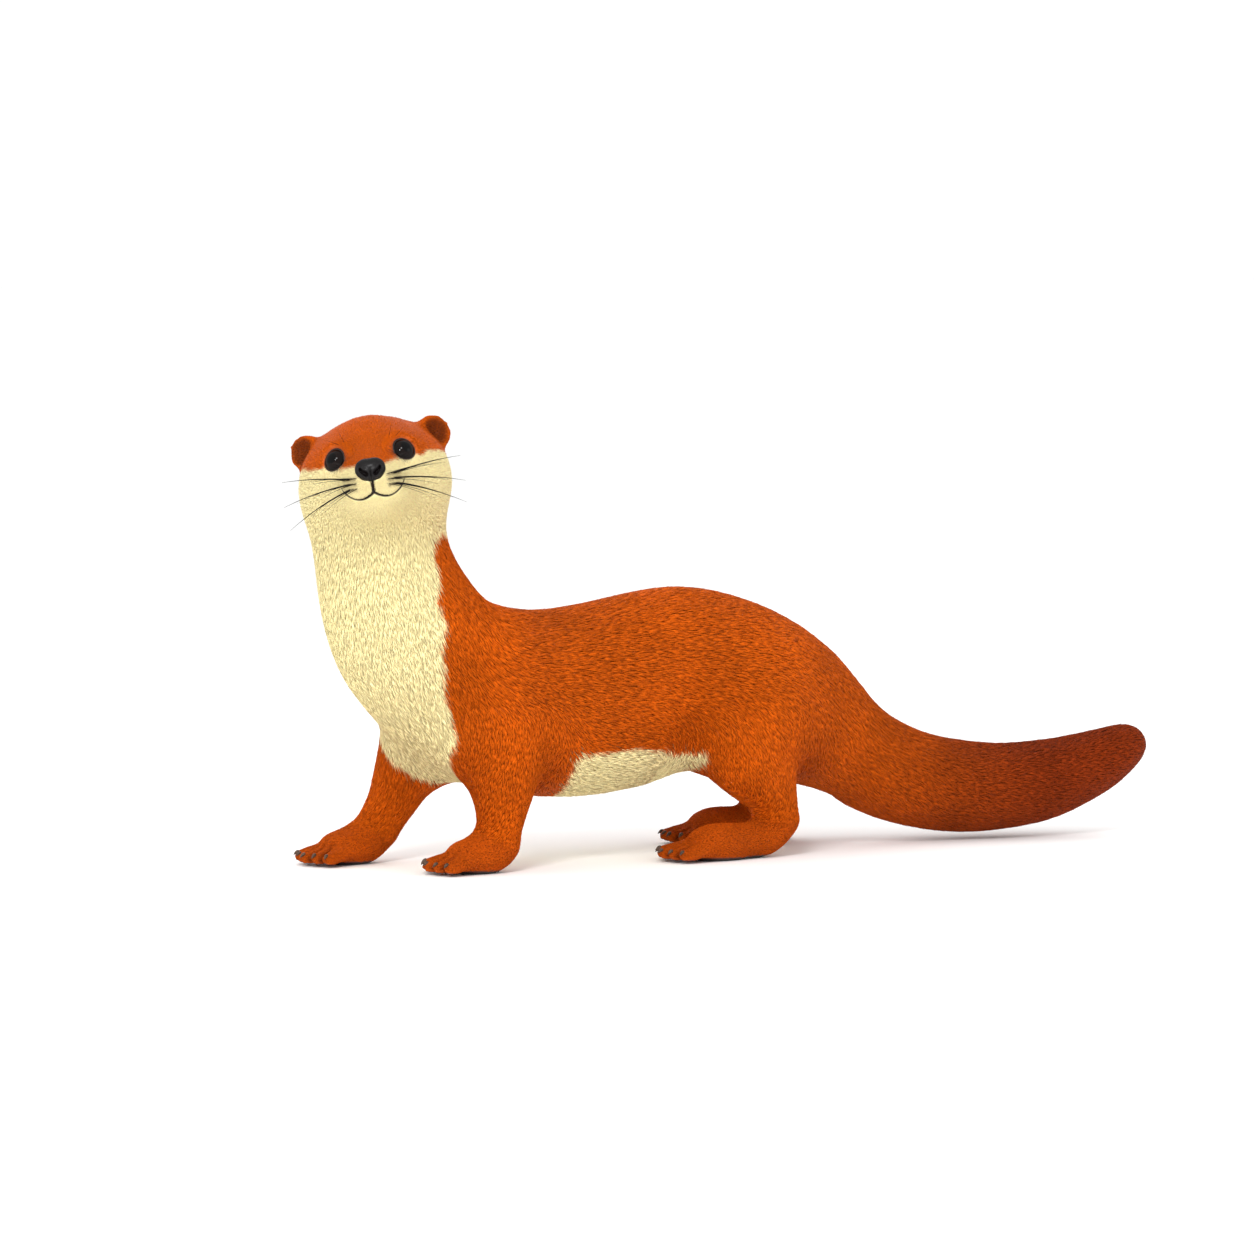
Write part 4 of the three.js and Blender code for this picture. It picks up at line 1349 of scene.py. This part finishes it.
def tufts(piece, tree, root, normal, field, rng):
    """One piece of the coat: each tuft is a thin closed leaf with a ridge along its back."""
    count = len(root)
    length = field["length"] * field["fine"] * rng.uniform(*TUFT_LENGTHS, (count, 1))
    width = field["width"] * field["fine"] * rng.uniform(*TUFT_WIDTHS, (count, 1))
    depth = field["depth"] * rng.uniform(*TUFT_DEPTHS, (count, 1))
    stray = rng.random((count, 1)) ** STRAY_POWER
    own_yaw, shared_yaw = YAW
    yaw = np.radians(rng.normal(0, own_yaw, (count, 1)) + shared_yaw * ripple(root, YAW_WAVE * MM)[:, None])
    way = across(field["lie"], normal)
    aside = np.cross(normal, way)
    way, aside = way * np.cos(yaw) + aside * np.sin(yaw), aside * np.cos(yaw) - way * np.sin(yaw)
    shoulder = root + way * length * SHOULDER
    shoulder_skin, shoulder_normal = nearest_on(tree, shoulder)
    tip_skin, tip_normal = nearest_on(tree, root + way * length)
    straight, bent = SHOULDER_ON_SKIN
    shoulder = shoulder * straight + shoulder_skin * bent + shoulder_normal * depth * SHOULDER_RISE
    tip = tip_skin + tip_normal * depth * (TIP_RISE + STRAY_RISE * stray)
    half = aside * width / 2
    ridge = shoulder + normal * width * RIDGE
    corners = np.stack([root - normal * ROOTED, shoulder + half, shoulder - half, ridge, tip], axis=1)
    corners[:, :, 2] = np.maximum(corners[:, :, 2], TUFT_FLOOR)
    faces = (TUFT_FACES[None] + TUFT_POINTS * np.arange(count)[:, None, None]).reshape(-1, 3)
    mesh = mesh_from(piece, corners.reshape(-1, 3), faces)
    seed = rng.random((count, 1))
    mix, sharpness = PALE_MIX
    pale = np.clip((field["pale"] - 0.5 + mix * (seed - 0.5)) * sharpness + 0.5, 0, 1)
    shade = rng.normal(0, 1, count).clip(-2, 2)
    values = {"pale": pale, "dark": field["dark"], "hollow": field["hollow"], "shade": shade}
    for name, value in values.items():
        put_attribute(mesh, name, np.repeat(value, TUFT_POINTS))
    put_attribute(mesh, "along", np.tile([0, SHOULDER, SHOULDER, SHOULDER, 1], count))
    put_attribute(mesh, "strand", strand_places(length, width, seed))
    unwrap_tufts(mesh, unwrap(root, piece), faces)
    return add_object(piece, mesh)


def strand_places(length, width, seed):
    """Where each point of each tuft lies across the tuft and along it, for the single hairs."""
    strand = np.zeros((len(seed), TUFT_POINTS, 3))
    strand[:, 1, 0], strand[:, 2, 0] = width[:, 0] / 2, -width[:, 0] / 2
    strand[:, 1:4, 1] = SHOULDER * length
    strand[:, 4, 1] = length[:, 0]
    strand[:, :, 2] = seed * STRAND_SHIFT
    return strand.reshape(-1, 3)


def unwrap_tufts(mesh, place, faces):
    """A small patch of the coat's unwrap for each tuft, at its root's place."""
    uv = (place[:, None] + (PATCH_CORNERS * PATCH)[None]).reshape(-1, 2)
    layer = mesh.uv_layers.new(name="OFBake")
    layer.data.foreach_set("uv", uv[faces.ravel()].astype(np.float32).ravel())


# ---------------------------------------------------------------------------- materials


def add(tree, kind, inputs=None, **settings):
    """A shader node with its settings and inputs; an input is a value or another node's output."""
    node = tree.nodes.new(kind)
    for key, value in settings.items():
        setattr(node, key, value)
    for name, value in (inputs or {}).items():
        if isinstance(value, bpy.types.NodeSocket):
            tree.links.new(value, node.inputs[name])
        else:
            node.inputs[name].default_value = value
    return node


def attribute(tree, name, output="Fac"):
    return add(tree, "ShaderNodeAttribute", attribute_name=name).outputs[output]


def object_place(tree):
    return add(tree, "ShaderNodeTexCoord").outputs["Object"]


def noise(tree, place, scale, detail):
    inputs = {"Vector": place, "Scale": scale, "Detail": detail}
    return add(tree, "ShaderNodeTexNoise", inputs).outputs["Fac"]


def mixed(tree, factor, first, second, blend="MIX"):
    """The colour between two colours."""
    inputs = {0: factor, 6: first, 7: second}
    return add(tree, "ShaderNodeMix", inputs, data_type="RGBA", blend_type=blend).outputs[2]


def worked(tree, operation, *values):
    """The result of one sum."""
    return add(tree, "ShaderNodeMath", dict(enumerate(values)), operation=operation).outputs[0]


def ranged(tree, value, low, high, to_low, to_high):
    return add(tree, "ShaderNodeMapRange", {0: value, 1: low, 2: high, 3: to_low, 4: to_high}).outputs[0]


def new_group(name, inputs, outputs):
    """An empty node group; inputs and outputs are names with their kinds."""
    group = bpy.data.node_groups.new(name, "ShaderNodeTree")
    for way, sockets in (("INPUT", inputs), ("OUTPUT", outputs)):
        for socket, kind in sockets.items():
            group.interface.new_socket(name=socket, in_out=way, socket_type="NodeSocket" + kind)
    return group, group.nodes.new("NodeGroupInput").outputs, group.nodes.new("NodeGroupOutput").inputs


def hair_colour_group():
    """The coat's colour: deeper at the root of the fur, with a tone of its own for each tuft."""
    tree, given, out = new_group("hair_colour", {
        "Back": "Color", "Belly": "Color", "Tail": "Color", "Root": "Color",
        "Pale": "Float", "Dark": "Float", "Along": "Float", "Tone": "Float"}, {"Color": "Color"})
    brown = mixed(tree, given["Dark"], given["Back"], given["Tail"])
    patches = noise(tree, object_place(tree), 24.0, 3.0)
    brown = mixed(tree, 1.0, brown, ranged(tree, patches, 0.3, 0.7, 0.86, 1.12), "MULTIPLY")
    fur = mixed(tree, given["Pale"], brown, given["Belly"])
    tone = worked(tree, "MULTIPLY_ADD", given["Tone"], 0.07, 1.0)
    fur = mixed(tree, 1.0, fur, tone, "MULTIPLY")
    depth = ranged(tree, given["Along"], 0.0, 0.5, 0.35, 0.0)
    root = mixed(tree, given["Pale"], given["Root"], mixed(tree, 0.92, given["Root"], given["Belly"]))
    tree.links.new(mixed(tree, depth, fur, root), out["Color"])
    return tree


def strand_group():
    """Single hairs inside a tuft."""
    tree, given, out = new_group("hair_strands", {"Vector": "Vector", "Fineness": "Float"},
                                 {"Streak": "Float", "Height": "Float"})
    scale = add(tree, "ShaderNodeCombineXYZ", {0: 1.0, 1: 0.06, 2: 1.0}).outputs[0]
    stretch = {0: given["Vector"], 1: scale}
    drawn = add(tree, "ShaderNodeVectorMath", stretch, operation="MULTIPLY").outputs[0]
    hairs = noise(tree, drawn, given["Fineness"], 2.0)
    tree.links.new(hairs, out["Height"])
    tree.links.new(ranged(tree, hairs, 0.3, 0.7, 0.0, 1.0), out["Streak"])
    return tree


def pebble_group():
    """The small rounded cells of bare leather skin; Crease gives the creases between them, which the
    materials paint with shade.
    """
    tree, given, out = new_group("leather_pebbles", {"Vector": "Vector", "Scale": "Float"},
                                 {"Height": "Float", "Crease": "Float"})
    cells = add(tree, "ShaderNodeTexVoronoi", {"Vector": given["Vector"], "Scale": given["Scale"]},
                feature="SMOOTH_F1").outputs["Distance"]
    fine = noise(tree, given["Vector"], 900.0, 3.0)
    height = worked(tree, "MULTIPLY_ADD", fine, 0.25, worked(tree, "SUBTRACT", 1.0, cells))
    tree.links.new(height, out["Height"])
    tree.links.new(ranged(tree, cells, 0.25, 0.6, 0.0, 1.0), out["Crease"])
    return tree


GROUPS = {}


def filled(tree, name, inputs):
    """A node group placed in a material with its own values."""
    return add(tree, "ShaderNodeGroup", inputs, node_tree=GROUPS[name]).outputs


def new_material(name, **constants):
    """A material with its Principled shader; the constants are set on the shader's own sockets."""
    material = bpy.data.materials.new(name)
    material.use_nodes = True
    tree = material.node_tree
    shader = tree.nodes["Principled BSDF"]
    for key, value in constants.items():
        shader.inputs[key.replace("_", " ")].default_value = value
    return material, tree, shader


def feed(tree, shader, colour, roughness):
    """Links a colour and a roughness that change over the surface."""
    tree.links.new(colour, shader.inputs["Base Color"])
    tree.links.new(roughness, shader.inputs["Roughness"])


def bumped(tree, shader, height, distance, strength):
    bump = add(tree, "ShaderNodeBump", {"Height": height, "Distance": distance, "Strength": strength})
    tree.links.new(bump.outputs["Normal"], shader.inputs["Normal"])


def fur_colour(tree, along, tone):
    return filled(tree, "hair_colour", {
        "Back": CHESTNUT, "Belly": CREAM, "Tail": UMBER, "Root": UNDERFUR,
        "Pale": attribute(tree, "pale"), "Dark": attribute(tree, "dark"),
        "Along": along, "Tone": tone})["Color"]


def coat_material():
    """Sleek guard hair."""
    material, tree, shader = new_material("guard_hair", Specular_IOR_Level=0.15, IOR=1.3)
    place = attribute(tree, "strand", "Vector")
    strands = filled(tree, "hair_strands", {"Vector": place, "Fineness": 5200.0})
    colour = fur_colour(tree, attribute(tree, "along"), attribute(tree, "shade"))
    colour = mixed(tree, 1.0, colour, ranged(tree, strands["Streak"], 0, 1, 0.88, 1.12), "MULTIPLY")
    # painted shade in the ears' cups and the toes' clefts; at the whiskers' pores the darker fur is their own
    # colour
    shade = worked(tree, "MULTIPLY", attribute(tree, "hollow"), 0.72)
    roughness = ranged(tree, strands["Streak"], 0, 1, 0.68, 0.54)
    feed(tree, shader, mixed(tree, shade, colour, SHADE_AND_PORE_FUR), roughness)
    bumped(tree, shader, strands["Height"], 0.12 * MM, 0.6)
    return material


def skin_material():
    """Woolly underfur, with bare dark skin on the lips, the lids and the soles, and painted shade in the
    ears' cups and the toes' clefts.
    """
    material, tree, shader = new_material("skin", Specular_IOR_Level=0.3)
    place = object_place(tree)
    wool = noise(tree, place, 1500.0, 3.0)
    colour = fur_colour(tree, 0.4, ranged(tree, wool, 0.3, 0.7, -1.5, 1.0))
    bare = attribute(tree, "bare")
    pebbles = filled(tree, "leather_pebbles", {"Vector": place, "Scale": 900.0})
    # painted shade in the ears' cups and the toes' clefts; at the whiskers' pores the darker colour is their
    # own
    colour = mixed(tree, worked(tree, "MULTIPLY", attribute(tree, "hollow"), 0.8), colour, SHADE_AND_PORE_FUR)
    # painted shade in the creases between the pebbles
    dark_skin = mixed(tree, pebbles["Crease"], BARE_SKIN, SKIN_CREASE_SHADE)
    feed(tree, shader, mixed(tree, bare, colour, dark_skin), ranged(tree, bare, 0, 1, 0.85, 0.42))
    bumped(tree, shader, mixed(tree, bare, wool, pebbles["Height"]), 0.2 * MM, 0.5)
    return material


def nose_material():
    """Moist black leather, with painted shade in its nostrils and in the creases between its pebbles."""
    material, tree, shader = new_material("nose_leather", Coat_Weight=0.08, Coat_Roughness=0.15,
                                          Specular_IOR_Level=0.16)
    pebbles = filled(tree, "leather_pebbles", {"Vector": object_place(tree), "Scale": 1250.0})
    # painted shade in the creases between the pebbles
    colour = mixed(tree, pebbles["Crease"], BLACK_LEATHER, LEATHER_CREASE_SHADE)
    # painted shade inside the nostrils
    colour = mixed(tree, attribute(tree, "hollow"), colour, NOSTRIL_SHADE)
    feed(tree, shader, colour, ranged(tree, pebbles["Crease"], 0, 1, 0.38, 0.6))
    bumped(tree, shader, pebbles["Height"], 0.22 * MM, 0.7)
    return material


def eye_material():
    """A dark brown iris round a wide pupil, under a wet cornea."""
    material, tree, shader = new_material("eye", Coat_Weight=0.28, Coat_Roughness=0.01,
                                          Specular_IOR_Level=0.0)
    ring = attribute(tree, "ring")
    spokes = worked(tree, "MULTIPLY", attribute(tree, "spoke"), 14.0)
    rings = worked(tree, "MULTIPLY", ring, 0.08)
    fibre_place = add(tree, "ShaderNodeCombineXYZ", {0: spokes, 1: rings, 2: 0.0}).outputs[0]
    fibres = noise(tree, fibre_place, 2.0, 3.0)
    iris = mixed(tree, ranged(tree, fibres, 0.35, 0.65, 0, 1), *IRIS)
    colour = mixed(tree, ranged(tree, ring, 22.0, 25.0, 0.0, 1.0), PUPIL, iris)
    colour = mixed(tree, ranged(tree, ring, 38.0, 46.0, 0.0, 1.0), colour, LIMBUS)
    feed(tree, shader, colour, ranged(tree, fibres, 0.3, 0.7, 0.3, 0.2))
    return material


def horn_material(name, colours, roughness, specular):
    """Claw or whisker: dark horn with paler flecks."""
    material, tree, shader = new_material(name, Specular_IOR_Level=specular)
    grain = noise(tree, object_place(tree), 700.0, 2.0)
    colour = mixed(tree, ranged(tree, grain, 0.35, 0.65, 0, 1), *colours)
    feed(tree, shader, colour, ranged(tree, grain, 0.3, 0.7, roughness - 0.08, roughness + 0.08))
    bumped(tree, shader, grain, 0.05 * MM, 0.4)
    return material


def floor_material():
    material, tree, shader = new_material("studio_floor", Roughness=0.9)
    tree.links.new(mixed(tree, noise(tree, object_place(tree), 3.0, 2.0), *FLOOR_PAINT),
                   shader.inputs["Base Color"])
    return material


# ---------------------------------------------------------------------------- stage

CAMERA_TURN = math.radians(-30)
CAMERA_LIFT = math.radians(3.8)
CAMERA_AWAY = 4.4
CAMERA_AIM = (-0.072, 0.0, 0.1475)
CAMERA_LENS = 197
LIT = (0, 0, 0.12)  # where the lamps point
LIGHTS = {  # place, diameter and power
    "key_light": ((-1.6, -1.9, 2.0), 0.7, 32),
    "catch_light": ((-1.9, -1.5, 1.1), 0.28, 14),
    "fill_light": ((1.8, -2.2, 1.0), 1.8, 9),
    "rim_light": ((0.9, 2.2, 1.8), 1.4, 12),
}
SKY_STRENGTH = 1.05
FLOOR_HALF = 20


def camera():
    data = bpy.data.cameras.new("camera")
    data.lens = CAMERA_LENS
    eye = add_object("camera", data)
    level = math.cos(CAMERA_LIFT)
    back = Vector((math.sin(CAMERA_TURN) * level, -math.cos(CAMERA_TURN) * level, math.sin(CAMERA_LIFT)))
    eye.location = Vector(CAMERA_AIM) + back * CAMERA_AWAY
    look_along(eye, -back)
    bpy.context.scene.camera = eye


def look_along(thing, way):
    """Turns a camera or a lamp to look along a way."""
    thing.rotation_mode = "QUATERNION"
    thing.rotation_quaternion = way.to_track_quat("-Z", "Y")


def area_light(name, place, size, power):
    data = bpy.data.lights.new(name, "AREA")
    data.shape, data.size, data.energy = "DISK", size, power
    lamp = add_object(name, data)
    lamp.location = place
    look_along(lamp, Vector(LIT) - Vector(place))


def studio():
    """A pale floor under soft light."""
    half = FLOOR_HALF
    corners = [(-half, -half, 0), (half, -half, 0), (half, half, 0), (-half, half, 0)]
    floor = add_object("floor", mesh_from("floor", corners, [(0, 1, 2, 3)]), floor_material())
    for name, light in LIGHTS.items():
        area_light(name, *light)
    world = bpy.data.worlds.new("studio")
    world.use_nodes = True
    sky = world.node_tree.nodes["Background"].inputs
    sky["Color"].default_value = (1, 1, 1, 1)
    sky["Strength"].default_value = SKY_STRENGTH
    bpy.context.scene.world = world
    bpy.context.scene.view_settings.view_transform = "Standard"


# ---------------------------------------------------------------------------- assembly


def place_piece(piece, material, slot, *stands_for):
    """Gives a piece its material and its body, and hides the solids that it stands for; the slot is not used.
    """
    if not piece.data.materials:
        piece.data.materials.append(material)
    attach(piece, "root")
    if stands_for:
        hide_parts(*stands_for)


def skin_with_lids(skin, eyes):
    """Adds the lids' rims to the skin."""
    rims = [lid_ring(eye) for eye in eyes.values()]
    mesh = mesh_from("lids", *joined([rim[:2] for rim in rims]))
    for name in ("pale", "dark", "hollow"):
        put_attribute(mesh, name, np.zeros(len(mesh.vertices)))
    put_attribute(mesh, "bare", np.concatenate([rim for _, _, rim in rims]))
    lids = add_object("lids", mesh)
    body = add_object("skin", skin)
    with bpy.context.temp_override(active_object=body, selected_editable_objects=[body, lids]):
        bpy.ops.object.join()
    return body


def build():
    camera()
    studio()
    GROUPS["hair_colour"] = hair_colour_group()
    GROUPS["hair_strands"] = strand_group()
    GROUPS["leather_pebbles"] = pebble_group()
    rng = np.random.default_rng(SEED)
    skin, region, eyes, pads = finished_skin()
    tree = tree_of(skin)
    hair = coat_material()
    for piece in coat(skin, region, rng):
        place_piece(piece, hair, "coat")
    leather = nose_material()
    horn = horn_material("claw_horn", HORN, 0.45, 0.3)
    bristle = horn_material("whisker_hair", BRISTLE, 0.55, 0.12)
    for side in SIDES:
        place_piece(add_object(f"whiskers_{side}", whiskers(tree, side, pads[side], rng)), bristle, "nose")
        place_piece(add_object(f"eyeball_{side}", eyeball(eyes[side])), eye_material(), "eye", f"eye_{side}")
    place_piece(add_object("nose_pad", nose_pad()), leather, "nose", "nose")
    for paw, claws in CLAWS.items():
        mesh = bundle(f"{paw}_claws", [claw(*CLAW_ENDS[name]) for name in claws])
        place_piece(add_object(f"{paw}_claws", mesh), horn, "claw", *claws)
    place_piece(skin_with_lids(skin, eyes), skin_material(), "coat", *flesh_names())


build()
